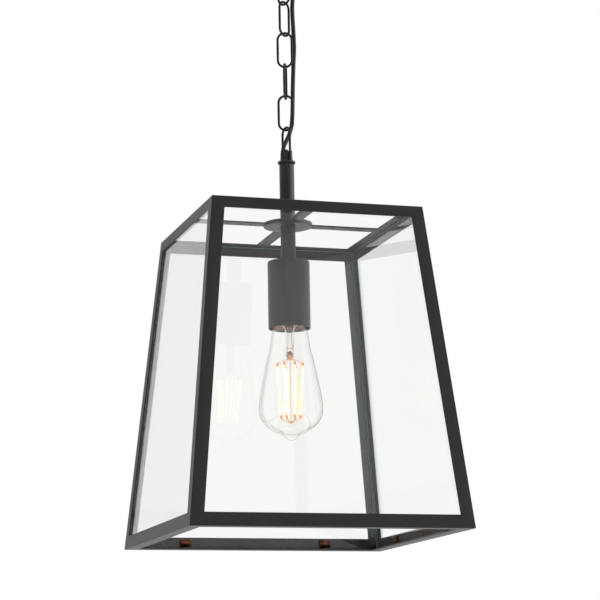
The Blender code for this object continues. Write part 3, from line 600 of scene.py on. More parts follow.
def moulded(name, hex_value, other, roughness, mottle, ior, coat=0.0):
    """A fired, glazed or injection-moulded body. It gives an even colour with faint cloudiness, and gloss
    from its skin or its glaze."""
    finish, tree, place = new_finish(name)
    cloud = add(tree, "ShaderNodeTexNoise", (), {"Vector": place, "Scale": per_metre(mottle), "Detail": 5.0})
    skin = add(tree, "ShaderNodeTexNoise", (), {"Vector": place, "Scale": per_metre(0.6), "Detail": 3.0})
    colour = add(tree, "ShaderNodeMix", {"data_type": "RGBA"}, {
        "Factor": cloud.outputs["Fac"], "A": linear(hex_value), "B": linear(other),
    })
    gloss = add(tree, "ShaderNodeMapRange", (), {
        "Value": skin.outputs["Fac"], "To Min": roughness - 0.05, "To Max": roughness + 0.08,
    })
    bump = add(
        tree, "ShaderNodeBump", (), {"Height": skin.outputs["Fac"], "Strength": 0.15, "Distance": 0.05 * MM}
    )
    shader = add(tree, "ShaderNodeBsdfPrincipled", (), {
        "Base Color": colour.outputs[2], "Roughness": gloss.outputs["Result"],
        "Normal": bump.outputs["Normal"], "IOR": ior, "Coat Weight": coat,
    })
    put_out(tree, shader.outputs["BSDF"])
    return finish


def glowing_phosphor(name, colour, strength):
    """A glass stick under yellow phosphor gel, lit. It gives a pale light over the row of chips and a deeper
    yellow from the gel at its sides, a little uneven where the chips sit every millimetre and a half."""
    finish, tree, place = new_finish(name)
    chips = add(tree, "ShaderNodeTexWave", {"bands_direction": "Z"}, {
        "Vector": place, "Scale": per_metre(1.5) / math.tau, "Distortion": 0.4, "Detail": 1.0,
    })
    glow = add(tree, "ShaderNodeMapRange", (), {
        "Value": chips.outputs["Fac"], "To Min": 0.85 * strength, "To Max": 1.1 * strength,
    })
    shader = add(tree, "ShaderNodeBsdfPrincipled", (), {
        "Base Color": linear("e8c860"), "Roughness": 0.5, "Emission Color": linear(colour),
        "Emission Strength": glow.outputs["Result"],
    })
    put_out(tree, shader.outputs["BSDF"])
    return finish


def glowing_tab():
    """The plated steel tab at the end of a stick. Its warm orange is painted glow: an emission that stands in
    for the light of the gel beside it.
    """
    finish, tree, place = new_finish("plated_tab_with_painted_glow")
    fade = add(tree, "ShaderNodeTexNoise", (), {"Vector": place, "Scale": per_metre(2), "Detail": 2.0})
    glow = add(tree, "ShaderNodeMapRange", (), {"Value": fade.outputs["Fac"], "To Min": 0.75, "To Max": 0.95})
    shader = add(tree, "ShaderNodeBsdfPrincipled", (), {
        "Base Color": linear("7a4010"), "Metallic": 0.6, "Roughness": 0.35,
        "Emission Color": linear("ff9400"), "Emission Strength": glow.outputs["Result"],
    })
    put_out(tree, shader.outputs["BSDF"])
    return finish


def plain_studio(name, hex_value):
    """Painted board for the floor: matt, lit from the whole studio, with the faintest roller texture."""
    finish, tree, place = new_finish(name)
    roller = add(tree, "ShaderNodeTexNoise", (), {"Vector": place, "Scale": per_metre(30), "Detail": 3.0})
    bump = add(
        tree, "ShaderNodeBump", (), {"Height": roller.outputs["Fac"], "Strength": 0.05, "Distance": 0.2 * MM}
    )
    shader = add(tree, "ShaderNodeBsdfPrincipled", (), {
        "Base Color": linear(hex_value), "Roughness": 0.9, "Normal": bump.outputs["Normal"],
        "Emission Color": (1.0, 1.0, 0.98, 1.0), "Emission Strength": 0.22,
    })
    put_out(tree, shader.outputs["BSDF"])
    return finish


FRAME_PAINT = powder_coat("satin_black_powder_coat", "121211", "1a1a19", 0.42, 0.9)
STEM_PAINT = powder_coat("satin_black_powder_coat_on_tube", "151514", "1d1d1c", 0.42, 0.8)
CUP_PAINT = powder_coat("fine_texture_charcoal_powder_coat", "222221", "2a2a29", 0.36, 0.7)
CHAIN_PAINT = chain_enamel()
PVC = flex_sheath()
FLOAT_GLASS = clear_glass("clear_float_glass", "fefffe", "f4f4f0", 0.0, 90, 0.02)
GLASS_EDGE = ground_edge()
LAMP_GLASS = clear_glass("blown_clear_lamp_glass", "fffefe", "bebcb2", 0.0, 25, 0.05)
COPPER = worked_metal("rolled_copper_spring_strip", "7c5240", "3a2922", 0.36, (1, 1, 0.1), 0.5, 0.03)
# the bright copper of the mouth ring is painted light: it stands in for the bulb's warm glow on the socket's
# mouth
PAINTED_BULB_GLOW_COPPER = worked_metal("copper_ring_painted_with_bulb_glow", "f4b48a", "c47a4e", 0.5, (1, 1, 1), 1.5, 0.06)
BRASS = worked_metal("stamped_brass", "c9a860", "a5853f", 0.30, (1, 1, 0.2), 0.8, 0.04)
NICKEL = worked_metal("rolled_nickel_plated_brass", "c6c1b6", "a19b90", 0.24, (1, 1, 0.15), 0.6, 0.03)
ZINC = worked_metal("zinc_plated_pressed_steel", "a3a6a8", "808386", 0.38, (1, 0.2, 1), 2.5, 0.05)
LEAD_WIRE = worked_metal("drawn_copper_clad_lead_wire", "f6c8a0", "dc9c70", 0.30, (1, 1, 0.1), 0.3, 0.02)
PORCELAIN = moulded("glazed_steatite_porcelain", "e9e5da", "ddd6c8", 0.18, 9, 1.5, coat=0.6)
CAP_GLASS = moulded("pressed_black_cap_glass", "121218", "1e1c22", 0.12, 4, 1.52)
POLYAMIDE = moulded("moulded_white_polyamide", "dedbd2", "d2cec2", 0.42, 8, 1.53)
GRIP_NYLON = moulded("moulded_black_nylon", "1b1b1c", "252526", 0.45, 6, 1.53)
GEL = glowing_phosphor("lit_phosphor_gel_over_chips", "fffbe0", 2.2)
SIDE_GEL = glowing_phosphor("lit_phosphor_gel_at_sides", "ffd884", 1.25)
# the tab's glow is painted light: an emission standing in for the gel's light on bare metal
TAB = glowing_tab()


# ---------------------------------------------------------------- camera


def set_camera():
    data = bpy.data.cameras.new("camera")
    data.lens = CAMERA_LENS
    data.sensor_width = 36
    data.clip_start = 0.05
    data.clip_end = 60
    camera = bpy.data.objects.new("camera", data)
    bpy.context.scene.collection.objects.link(camera)
    camera.matrix_world = (
        Matrix.Translation(CAMERA_PLACE)
        @ Matrix.Rotation(math.radians(CAMERA_YAW), 4, "Z")
        @ Matrix.Rotation(math.radians(90 + CAMERA_PITCH), 4, "X")
        @ Matrix.Rotation(math.radians(CAMERA_ROLL), 4, "Z")
    )
    bpy.context.scene.camera = camera


# ---------------------------------------------------------------- flex


def at_height(line, height):
    """The point where a line that only goes down passes that height, and the index of the point after it."""
    for k in range(1, len(line)):
        if line[k].z <= height + 1e-9:
            share = (line[k - 1].z - height) / (line[k - 1].z - line[k].z)
            return line[k - 1].lerp(line[k], share), k
    return line[-1], len(line) - 1


def make_flex():
    """The free flex, in one length between each two joints of the chain."""
    line = smooth_line(FLEX_ROUTE, 6)
    marks = [(line[0], 0)] + [at_height(line, cut_height) for cut_height in FLEX_CUTS[1:]]
    full = [line[0]]
    starts = [0]
    for (start, after), (end, before) in zip(marks, marks[1:]):
        full += [p for p in line[after if start is not line[0] else 1 : before] if (p - end).length > 4e-4]
        full.append(end)
        starts.append(len(full) - 1)
    kept = [full[0]]
    places = [0]
    for k, point in enumerate(full[1:], 1):
        if (point - kept[-1]).length > 3e-4 or k in starts:
            kept.append(point)
        if k in starts:
            places.append(len(kept) - 1)
    ways = headings_along(kept)
    ways[0] = Vector((0, 0, -1))
    ways[-1] = Vector((0, 0, -1))
    for k, (start, end) in enumerate(zip(places, places[1:])):
        run = kept[start : end + 1]
        bm = drawn(run, FLEX / 2, 20, ways=ways[start : end + 1])
        made = piece(f"flex_run_{k + 1}", bm, None, PVC, smooth_to=60)
        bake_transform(made)
        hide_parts("flex")


# ---------------------------------------------------------------- frame and glass


def welded_frame():
    """Both rings, the posts and the cross as one folded and welded sheet: a leaning box with its windows cut
    out."""
    bm = bmesh.new()
    outline = [
        (half_width(0) - FLANGE, 0), (half_width(0), 0), (half_width(FRAME_HEIGHT), FRAME_HEIGHT),
        (half_width(FRAME_HEIGHT) - FLANGE, FRAME_HEIGHT),
    ]
    verts = [bm.verts.new((-across, -across, height)) for across, height in outline]
    edges = [bm.edges.new(pair) for pair in zip(verts, verts[1:])]
    bmesh.ops.spin(
        bm, geom=verts + edges, cent=(0, 0, 0), axis=(0, 0, 1), angle=math.tau, steps=4, use_merge=True
    )
    close_up(bm)
    face_down(bm)
    cuts = [((0, 0, BOTTOM_LEG), (0, 0, 1)), ((0, 0, FRAME_HEIGHT - TOP_LEG), (0, 0, 1))]
    reach = half_width(0) - POST_LEG
    for k in range(4):
        way = -heading(k * math.pi / 2)
        cuts.append((way * reach, way + Vector((0, 0, FRAME_LEAN))))
    for place, way in cuts:
        walls = [f for f in bm.faces if abs(f.normal.z) < 0.5]
        parts = set(walls) | {e for f in walls for e in f.edges} | {v for f in walls for v in f.verts}
        bmesh.ops.bisect_plane(bm, geom=list(parts), dist=1e-7, plane_co=place, plane_no=way)
    windows = []
    for face in bm.faces:
        middle = face.calc_center_median()
        lateral = min(abs(middle.x), abs(middle.y))
        in_height = BOTTOM_LEG < middle.z < FRAME_HEIGHT - TOP_LEG
        if abs(face.normal.z) < 0.5 and in_height and lateral < half_width(middle.z) - POST_LEG:
            windows.append(face)
    bmesh.ops.delete(bm, geom=windows, context="FACES")
    arm_edges(bm)
    close_up(bm)
    face_down(bm)
    frame_piece = piece(
        "welded_frame", bm, "lantern", FRAME_PAINT,
        [f"{name}_{side}" for name in ("top_rail", "bottom_rail", "cross_arm") for side in SIDES] + [
            f"corner_post_{SIDES[k - 1]}_{SIDES[k]}" for k in range(4)
        ],
        lift=BASE, smooth_to=30,
    )
    modify(frame_piece, "sheet", "SOLIDIFY", thickness=SHEET, offset=-1, use_even_offset=True)
    modify(
        frame_piece, "fold", "BEVEL", width=FOLD, segments=3, limit_method="ANGLE", angle_limit=SHARP,
        harden_normals=False,
    )
    return frame_piece


def arm_edges(bm):
    """Draws the four arms of the cross in from the top ring to under the hub's edge."""
    inner = half_width(FRAME_HEIGHT) - FLANGE
    reach = inner - (HUB_RADIUS - 2 * MM)
    for axis in (Vector((1, 0, 0)), Vector((0, 1, 0))):
        for sign in (-1, 1):
            top = [f for f in bm.faces if f.calc_center_median().z > FRAME_HEIGHT - 1e-5]
            parts = set(top) | {e for f in top for e in f.edges} | {v for f in top for v in f.verts}
            bmesh.ops.bisect_plane(
                bm, geom=list(parts), dist=1e-7, plane_co=axis * sign * ARM_WIDTH / 2, plane_no=axis
            )
    for k in range(4):
        way = heading(k * math.pi / 2)
        across = Vector((-way.y, way.x, 0))
        roots = []
        for edge in bm.edges:
            middle = (edge.verts[0].co + edge.verts[1].co) / 2
            at_inner = abs(middle.dot(way) - inner) < 1e-5 and middle.z > FRAME_HEIGHT - 1e-5
            if edge.is_boundary and at_inner and abs(middle.dot(across)) < ARM_WIDTH / 4:
                roots.append(edge)
        grown = bmesh.ops.extrude_edge_only(bm, edges=roots)["geom"]
        ends = verts_in(grown)
        bmesh.ops.translate(bm, verts=ends, vec=-way * reach)


def make_panes():
    """Four cut panes with ground edges and a small arris."""
    for k, side_name in enumerate(SIDES):
        bm = bmesh.new()
        low, high = SHEET + GAP, FRAME_HEIGHT - SHEET - GAP
        corners = []
        for sign, height in ((-1, low), (1, low), (1, high), (-1, high)):
            outer = half_width(height) - SHEET_ACROSS - GAP
            side = outer - GLASS_ACROSS - GAP
            corners.append(bm.verts.new((sign * side, -outer, height)))
        sheet = bm.faces.new(corners)
        grown = bmesh.ops.extrude_face_region(bm, geom=[sheet])["geom"]
        moved = verts_in(grown)
        bmesh.ops.translate(bm, verts=moved, vec=(0, GLASS_ACROSS, 0))
        close_up(bm)
        soften(bm, 0.3 * MM, segments=1)
        for face in bm.faces:
            face.material_index = 0 if abs(face.normal.y) > 0.95 else 1
        bm.transform(quarter_turn(k))
        piece(
            f"pane_{side_name}", bm, "lantern", [FLOAT_GLASS, GLASS_EDGE],
            [f"glass_{side_name}"], lift=BASE, smooth_to=20,
        )


def make_clips():
    """Two bent spring strips a side, from the base flange up the back of the pane, with a turned lip."""
    foot = SHEET + GAP
    glass = half_width(foot) - SHEET_ACROSS - 2 * GAP - GLASS_ACROSS
    crest = foot + CLIP_HEIGHT
    back = glass - FRAME_LEAN * CLIP_HEIGHT
    outline = [(glass - CLIP_FOOT, foot), (glass, foot), (back, crest), (back - CLIP_LIP, crest + CLIP_LIP)]
    for k, side_name in enumerate(SIDES):
        for number, sign in ((1, -1), (2, 1)):
            start = sign * CLIP_SPREAD / 2 - CLIP_WIDTH / 2
            bm = bmesh.new()
            verts = [bm.verts.new((start, -across, height)) for across, height in outline]
            edges = [bm.edges.new(pair) for pair in zip(verts, verts[1:])]
            grown = bmesh.ops.extrude_edge_only(bm, edges=edges)["geom"]
            ends = verts_in(grown)
            bmesh.ops.translate(bm, verts=ends, vec=(CLIP_WIDTH, 0, 0))
            close_up(bm)
            face_down(bm)
            bends = [e for e in bm.edges if e.is_manifold]
            bmesh.ops.bevel(
                bm, geom=bends, offset=0.5 * MM, segments=3, profile=0.5, affect="EDGES", material=-1
            )
            bm.transform(quarter_turn(k))
            made = piece(
                f"spring_clip_{side_name}_{number}", bm, "lantern", COPPER,
                [f"glass_clip_{side_name}_{number}"], lift=BASE, smooth_to=40,
            )
            modify(made, "strip", "SOLIDIFY", thickness=CLIP_SHEET, offset=-1, use_even_offset=True)
            corner = math.radians(60)
            modify(
                made, "burr", "BEVEL", width=0.1 * MM, segments=1, limit_method="ANGLE", angle_limit=corner,
            )


# ---------------------------------------------------------------- hub, stem and yoke


def make_stem():
    bore = STEM_RADIUS + 0.5 * GAP
    hub = spun(
        [(bore, HUB_LOW), (HUB_RADIUS, HUB_LOW), (HUB_RADIUS, HUB_HIGH), (bore, HUB_HIGH)], edge=0.6 * MM
    )
    piece("hub_disc", hub, "lantern", STEM_PAINT, ["hub_plate"], lift=BASE)
    foot_top = STEM_LOW + 0.0133
    tube = [
        (NIPPLE_HOLE, STEM_LOW), (STEM_RADIUS, STEM_LOW), (STEM_RADIUS, STEM_HIGH), (STEM_BORE, STEM_HIGH),
        (STEM_BORE, foot_top), (NIPPLE_HOLE, foot_top),
    ]
    piece(
        "stem_pipe", spun(tube, edge=0.3 * MM), "lantern", STEM_PAINT, ["stem_tube"],
        lift=BASE,
    )
    inner = YOKE_RADIUS + GAP / 2
    middle = YOKE_LOW + COLLAR_HEIGHT / 2
    bead = [(inner, middle - 0.3 * COLLAR_HEIGHT)]
    for k in range(17):
        turn = math.pi * (k / 16 - 0.5)
        reach = COLLAR_RADIUS - inner - 1.2 * MM
        bead.append((inner + reach + 1.2 * MM * math.cos(turn), middle + COLLAR_HEIGHT / 2 * math.sin(turn)))
    bead.append((inner, middle + 0.3 * COLLAR_HEIGHT))
    piece("stem_bead", spun(bead), "lantern", STEM_PAINT, ["stem_collar"], lift=BASE)
    make_yoke()


def make_yoke():
    """The slotted cap on the stem, with the bridge that the last link goes round and the flex's open
    groove."""
    spigot = STEM_BORE - GAP
    crown = 0.7 * MM
    cap = [
        (0, YOKE_LOW - YOKE_SPIGOT), (spigot - 0.5 * MM, YOKE_LOW - YOKE_SPIGOT),
        (spigot, YOKE_LOW - YOKE_SPIGOT + 0.5 * MM), (spigot, YOKE_LOW), (YOKE_RADIUS, YOKE_LOW),
        (YOKE_TOP_RADIUS, YOKE_HIGH - crown), (YOKE_TOP_RADIUS - 0.3 * crown, YOKE_HIGH - 0.3 * crown),
        (YOKE_TOP_RADIUS - crown, YOKE_HIGH), (0, YOKE_HIGH),
    ]
    past = 2 * YOKE_RADIUS
    slot_turn = Matrix.Rotation(YOKE_YAW, 4, "Z")
    slot_floor = BRIDGE_HEIGHT - LINK_WIRE - 3 * GAP - BRIDGE_RADIUS
    slot = block((-past, -YOKE_SLOT / 2, slot_floor), (past, YOKE_SLOT / 2, YOKE_HIGH + past))
    slot.transform(slot_turn)
    lying = Matrix.Translation((0, 0, BRIDGE_HEIGHT)) @ slot_turn @ Matrix.Rotation(math.pi / 2, 4, "X")
    bridge = rod(BRIDGE_RADIUS, 2 * YOKE_SLOT, lying)
    groove_radius = FLEX / 2 + GAP
    away = heading(YOKE_YAW - math.pi / 2) * FLEX_OFFSET
    groove = rod(groove_radius, 8 * YOKE_RADIUS, Matrix.Translation((away.x, away.y, YOKE_LOW)))
    mouth = block((-groove_radius, -past, 0), (groove_radius, -FLEX_OFFSET, 1.2 * YOKE_HIGH))
    mouth.transform(slot_turn)
    worked = cut(spun(cap, 80), [
        ("DIFFERENCE", slot), ("UNION", bridge), ("DIFFERENCE", groove), ("DIFFERENCE", mouth),
    ])
    piece("slotted_yoke", worked, "lantern", STEM_PAINT, ["yoke"], lift=BASE)


# ---------------------------------------------------------------- lampholder


def make_lampholder():
    lip = 0.5 * MM
    cup = [
        (NIPPLE_HOLE, CUP_HIGH), (NIPPLE_HOLE, CUP_HIGH - CUP_WALL),
        (CUP_RADIUS - CUP_WALL - 0.8 * CUP_EDGE, CUP_HIGH - CUP_WALL),
        (CUP_RADIUS - CUP_WALL, CUP_HIGH - CUP_WALL - 0.8 * CUP_EDGE), (CUP_RADIUS - CUP_WALL, CUP_LOW + lip),
        (CUP_RADIUS - 0.75 * CUP_WALL, CUP_LOW + 0.1 * lip),
        (CUP_RADIUS - 0.25 * CUP_WALL, CUP_LOW + 0.1 * lip), (CUP_RADIUS, CUP_LOW + lip),
    ]
    for k in range(9):
        turn = math.pi / 2 * k / 8
        cup.append(
            (
                CUP_RADIUS - CUP_EDGE + CUP_EDGE * math.cos(turn),
                CUP_HIGH - CUP_EDGE + CUP_EDGE * math.sin(turn),
            )
        )
    piece("lampholder_cup", spun(cup), "lantern", CUP_PAINT, ["holder_cup"], lift=BASE)
    cavity = SHELL_RADIUS + GAP
    cavity_top = SOCKET_LOW + SOCKET_CAVITY
    body = [
        (cavity, SOCKET_LOW), (SOCKET_RADIUS, SOCKET_LOW), (SOCKET_RADIUS, SOCKET_HIGH),
        (SOCKET_BORE, SOCKET_HIGH), (SOCKET_BORE, cavity_top), (cavity, cavity_top),
    ]
    piece(
        "porcelain_insert", spun(body, 72, edge=0.7 * MM), "lantern", PORCELAIN, ["socket_body"],
        lift=BASE,
    )
    # a ring at the socket's mouth whose bright copper colour is painted warm light from the bulb
    ring = [
        (0.0155, SOCKET_LOW - 0.6 * MM), (0.0186, SOCKET_LOW - 0.6 * MM), (0.0190, SOCKET_LOW - 1.4 * MM),
        (0.0194, SOCKET_LOW - 1.4 * MM), (0.0189, SOCKET_LOW - 0.2 * MM), (0.0155, SOCKET_LOW - 0.2 * MM),
    ]
    piece("mouth_ring", spun(ring, 72), "lantern", PAINTED_BULB_GLOW_COPPER, lift=BASE)
    shell = threaded(SHELL_RADIUS - SHELL_WALL, SHELL_LOW, SHELL_HIGH, 0.35 * MM)
    piece("threaded_shell", shell, "lantern", BRASS, ["screw_shell"], lift=BASE, smooth_to=50)


def threaded(crest, low, high, wall):
    """A rolled-thread sleeve of thin metal, trimmed square at both ends. Crest is its largest radius. Every
    sleeve's wave starts at the same height, so that one screws into another without touching it."""
    steps = 40  # places round one turn
    wave = 8  # spans along one pitch
    middle = crest - THREAD_DEPTH / 2
    turns = math.ceil((high - low) / THREAD_PITCH) + 2
    bm = bmesh.new()
    profile = []
    for k in range(wave + 1):
        swing = math.tau * k / wave
        profile.append(
            bm.verts.new(
                (middle + THREAD_DEPTH / 2 * math.cos(swing), 0, THREAD_LOW - THREAD_PITCH * (1.5 - k / wave))
            )
        )
    edges = [bm.edges.new(pair) for pair in zip(profile, profile[1:])]
    bmesh.ops.spin(
        bm, geom=profile + edges, cent=(0, 0, 0), axis=(0, 0, 1), dvec=(0, 0, THREAD_PITCH / steps),
        angle=math.tau * turns, steps=steps * turns,
    )
    bmesh.ops.remove_doubles(bm, verts=bm.verts, dist=1e-5)
    for height, way in ((low, -1), (high, 1)):
        bmesh.ops.bisect_plane(
            bm, geom=bm.verts[:] + bm.edges[:] + bm.faces[:], dist=1e-6, plane_co=(0, 0, height),
            plane_no=(0, 0, way), clear_outer=True,
        )
    bmesh.ops.recalc_face_normals(bm, faces=bm.faces)
    if sum(f.normal.dot(Vector((*f.calc_center_median().xy, 0))) for f in bm.faces) > 0:
        bmesh.ops.reverse_faces(bm, faces=bm.faces)
    bmesh.ops.solidify(bm, geom=bm.verts[:] + bm.edges[:] + bm.faces[:], thickness=-wall)
    bmesh.ops.remove_doubles(bm, verts=bm.verts, dist=1e-7)
    bmesh.ops.recalc_face_normals(bm, faces=bm.faces)
    return bm


# ---------------------------------------------------------------- lamp


def bulb_outline():
    """The bulb's outer outline from its neck to its tip: (radius, height)."""
    marks = [
        (NECK_RADIUS / BULB_RADIUS, -0.0300), (NECK_RADIUS / BULB_RADIUS, 0.000), (0.470, 0.024),
        (0.555, 0.066), (0.645, 0.220), (0.735, 0.315), (0.860, 0.478), (0.950, 0.605), (1.000, 0.722),
        (0.955, 0.802), (0.780, 0.872), (0.560, 0.917), (0.330, 0.944), (0.225, 0.964), (0.165, 0.983),
        (0.085, 0.996), (0.000, 1.000),
    ]
    line = smooth_line([(r * BULB_RADIUS, 0, CAP_LOW - share * BULB_LENGTH) for r, share in marks], 5)
    widest = max(p.x for p in line)
    return [(max(p.x, 0) * BULB_RADIUS / widest, p.z) for p in line]


def inside(outline, wall):
    """The outline moved in by wall, along its own normals."""
    moved = []
    for k, (radius, height) in enumerate(outline):
        before = Vector(outline[max(k - 1, 0)])
        after = Vector(outline[min(k + 1, len(outline) - 1)])
        run = (after - before).normalized()
        moved.append((max(radius + run.y * wall, 0), height - run.x * wall))
    moved[-1] = (0, outline[-1][1] + wall)
    return moved


def make_bulb():
    outer = bulb_outline()
    inner = inside(outer, BULB_WALL)
    glass = spun([*reversed(inner), *outer], 96)
    piece("bulb_envelope", glass, "bulb", LAMP_GLASS, ["bulb_glass"], lift=BASE, smooth_to=50)
    make_cap()
    make_mount()
    make_filament()


def make_cap():
    """The screw cap: a rolled thread between a plain skirt and the shoulder that holds the black glass."""
    thread = threaded(CAP_RADIUS - 0.3 * MM, THREAD_LOW, THREAD_HIGH, 0.3 * MM)
    root = CAP_RADIUS - 1.1 * MM
    skirt = spun(
        [
            (root - 0.3 * MM, THREAD_LOW + 0.2 * MM), (root - 0.1 * MM, CAP_LOW + 0.7 * MM),
            (CAP_RADIUS - CAP_WALL, CAP_LOW + 0.3 * MM), (CAP_RADIUS - CAP_WALL, CAP_LOW),
            (CAP_RADIUS, CAP_LOW), (CAP_RADIUS, CAP_LOW + 0.4 * MM), (root + 0.2 * MM, CAP_LOW + 0.7 * MM),
            (root, THREAD_LOW + 0.2 * MM),
        ],
        80,
    )
    shoulder = spun(
        [
            (INSULATOR_RADIUS - 0.6 * MM, CAP_HIGH), (root - 1.2 * MM, THREAD_HIGH + 0.4 * MM),
            (root - 0.4 * MM, THREAD_HIGH - 0.3 * MM), (root + 0.2 * MM, THREAD_HIGH - 0.3 * MM),
            (root - 0.2 * MM, THREAD_HIGH + 0.8 * MM), (INSULATOR_RADIUS, CAP_HIGH),
        ],
        80,
    )
    merge(thread, skirt)
    merge(thread, shoulder)
    piece("screw_cap", thread, "bulb", NICKEL, ["bulb_cap"], lift=BASE, smooth_to=40)


def make_mount():
    """The flared glass stem in the bulb's neck, pinched flat round the lead wires, with the wires and the
    rod."""
    flare = NECK_RADIUS - BULB_WALL - GAP
    tube = 0.00385
    outline = [
        (0, 0.1780), (0.0022, 0.1784), (0.0033, 0.1800), (0.0037, 0.1835), (tube, 0.1880), (tube, 0.2040),
        (0.0050, 0.2090), (0.0080, 0.2125), (flare, CAP_LOW), (flare - 0.7 * MM, CAP_LOW), (0.0073, 0.2131),
        (0.0043, 0.2095), (tube - 0.7 * MM, 0.2040), (tube - 0.7 * MM, 0.1900), (0.0015, 0.1885), (0, 0.1882),
    ]
    bm = spun(outline, 48)
    pinched = [v for v in bm.verts if v.co.z < 0.1879]
    bmesh.ops.scale(bm, verts=pinched, vec=(1.05, 0.55, 1.0))
    piece("glass_mount", bm, "bulb", LAMP_GLASS, ["bulb_mount"], lift=BASE, smooth_to=50)
    wires = bmesh.new()
    for sign in (-1, 1):
        lead = smooth_line(
            [
                (sign * 0.0016, 0, 0.2120), (sign * 0.0019, 0, 0.1960), (sign * 0.0022, 0, 0.1840),
                (sign * 0.0026, 0, 0.1775),
            ],
            3,
        )
        merge(wires, drawn(lead, 0.22 * MM, 8))
    merge(wires, drawn([(0, 0, 0.1790), (0, 0, 0.1500), (0, 0, 0.1165), (0, 0, 0.1140)], 0.40 * MM, 10))
    for k in range(STICKS):
        way = heading(STICK_TURN + math.tau * k / STICKS)
        root = 0.0016 if k % 2 else 0.0026
        upper = [way * root + Vector((0, 0, 0.1785)), way * 0.0075 + Vector((0, 0, 0.1768))]
        upper.append(way * 0.0138 + Vector((0, 0, CAGE_TOP + 0.6 * MM)))
        merge(wires, drawn(smooth_line(upper, 3), 0.20 * MM, 6))
        lower = [way * 0.0004 + Vector((0, 0, 0.1160)), way * 0.0050 + Vector((0, 0, 0.1158))]
        lower.append(way * 0.0106 + Vector((0, 0, CAGE_LOW - 0.5 * MM)))
        merge(wires, drawn(smooth_line(lower, 3), 0.22 * MM, 6))
    piece("lead_wires", wires, "bulb", LEAD_WIRE, lift=BASE, smooth_to=60)
    blob = spun([(0, 0.1776), (0.0016, 0.1779), (0.0027, 0.1800), (0.0025, 0.1850), (0, 0.1870)], 32)
    bmesh.ops.scale(blob, verts=blob.verts, vec=(1.0, 0.5, 1.0))
    foot = spun([(0, 0.1137), (0.0012, 0.1140), (0.0019, 0.1156), (0.0015, 0.1168), (0, 0.1172)], 24)
    merge(blob, foot)
    piece("copper_press_seals", blob, "bulb", LEAD_WIRE, lift=BASE, smooth_to=50)


def merge(bm, other):
    """Adds another bmesh's shape to this one."""
    scrap = as_mesh("scrap", other)
    bm.from_mesh(scrap)
    bpy.data.meshes.remove(scrap)


def make_filament():
    """Eight lit sticks that lean in towards the tip, each with a bare tab at both ends."""
    gel = bmesh.new()
    tabs = bmesh.new()
    for k in range(STICKS):
        way = heading(STICK_TURN + math.tau * k / STICKS)
        top = way * (CAGE_TOP_RADIUS - STICK_RADIUS) + Vector((0, 0, CAGE_TOP + STICK_RADIUS))
        low = way * (CAGE_LOW_RADIUS - STICK_RADIUS) + Vector((0, 0, CAGE_LOW - STICK_RADIUS))
        run = (top - low).normalized()
        ends = (low + run * STICK_TAB, top - run * STICK_TAB)
        steps = [0, 0.01, 0.03, 0.25, 0.5, 0.75, 0.97, 0.99, 1]
        shares = [0.45, 0.75, 1, 1, 1, 1, 1, 0.75, 0.45]
        stick = drawn([ends[0].lerp(ends[1], s) for s in steps], STICK_RADIUS, 16, shares=shares)
        for face in stick.faces:
            face.material_index = 0 if abs(face.normal.dot(way)) > 0.6 else 1
        merge(gel, stick)
        for start, end in ((low, ends[0] + run * 0.2 * MM), (ends[1] - run * 0.2 * MM, top)):
            merge(tabs, drawn([start, start.lerp(end, 0.5), end], 1.1 * STICK_RADIUS, 12))
    piece(
        "filament_sticks", gel, "bulb", [GEL, SIDE_GEL], ["filament_cage"], lift=BASE,
        smooth_to=50,
    )
    # the tabs' orange glow is painted light from the gel beside them; the tabs are no lamp
    piece("filament_tabs", tabs, "bulb", TAB, lift=BASE, smooth_to=50)


# ---------------------------------------------------------------- chain


def link_line(yaw):
    """The centre line of an upright link about its middle, from the butt joint in one side round to it again,
    with the wire's thickness at each point."""
    bend = (LINK_WIDTH - LINK_WIRE) / 2
    straight = (LINK_LENGTH - LINK_WIDTH) / 2
    way = -heading(yaw)
    flat = [(bend, 0.00), (bend, 0.25 * MM), (bend, 0.8 * MM), (bend, 0.5 * straight)]
    shares = [0.88, 1.0, 1.07, 1.0]
    for k in range(17):
        turn = math.pi * k / 16
        flat.append((bend * math.cos(turn), straight + bend * math.sin(turn)))
    for k in range(1, 4):
        flat.append((-bend, straight - 2 * straight * k / 4))
    for k in range(17):
        turn = math.pi + math.pi * k / 16
        flat.append((bend * math.cos(turn), -straight + bend * math.sin(turn)))
    flat += [(bend, -0.5 * straight), (bend, -0.8 * MM), (bend, -0.25 * MM)]
    shares += [1.0] * (len(flat) - len(shares) - 2) + [1.07, 1.0]
    return [way * side + Vector((0, 0, rise)) for side, rise in flat], shares


def make_chain():
    for k, yaw in enumerate(LINK_YAWS):
        name = f"chain_link_{k + 1}"
        low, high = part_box(name)
        middle = (low.z + high.z) / 2
        points, shares = link_line(math.radians(yaw))
        points = [p + Vector((0, 0, middle)) for p in points]
        bm = drawn(points, LINK_WIRE / 2, 18, closed=True, shares=shares)
        piece(
            f"wire_link_{k + 1}", bm, f"link_{k + 1}", CHAIN_PAINT, [name], smooth_to=50,
        )


# ---------------------------------------------------------------- ceiling rose


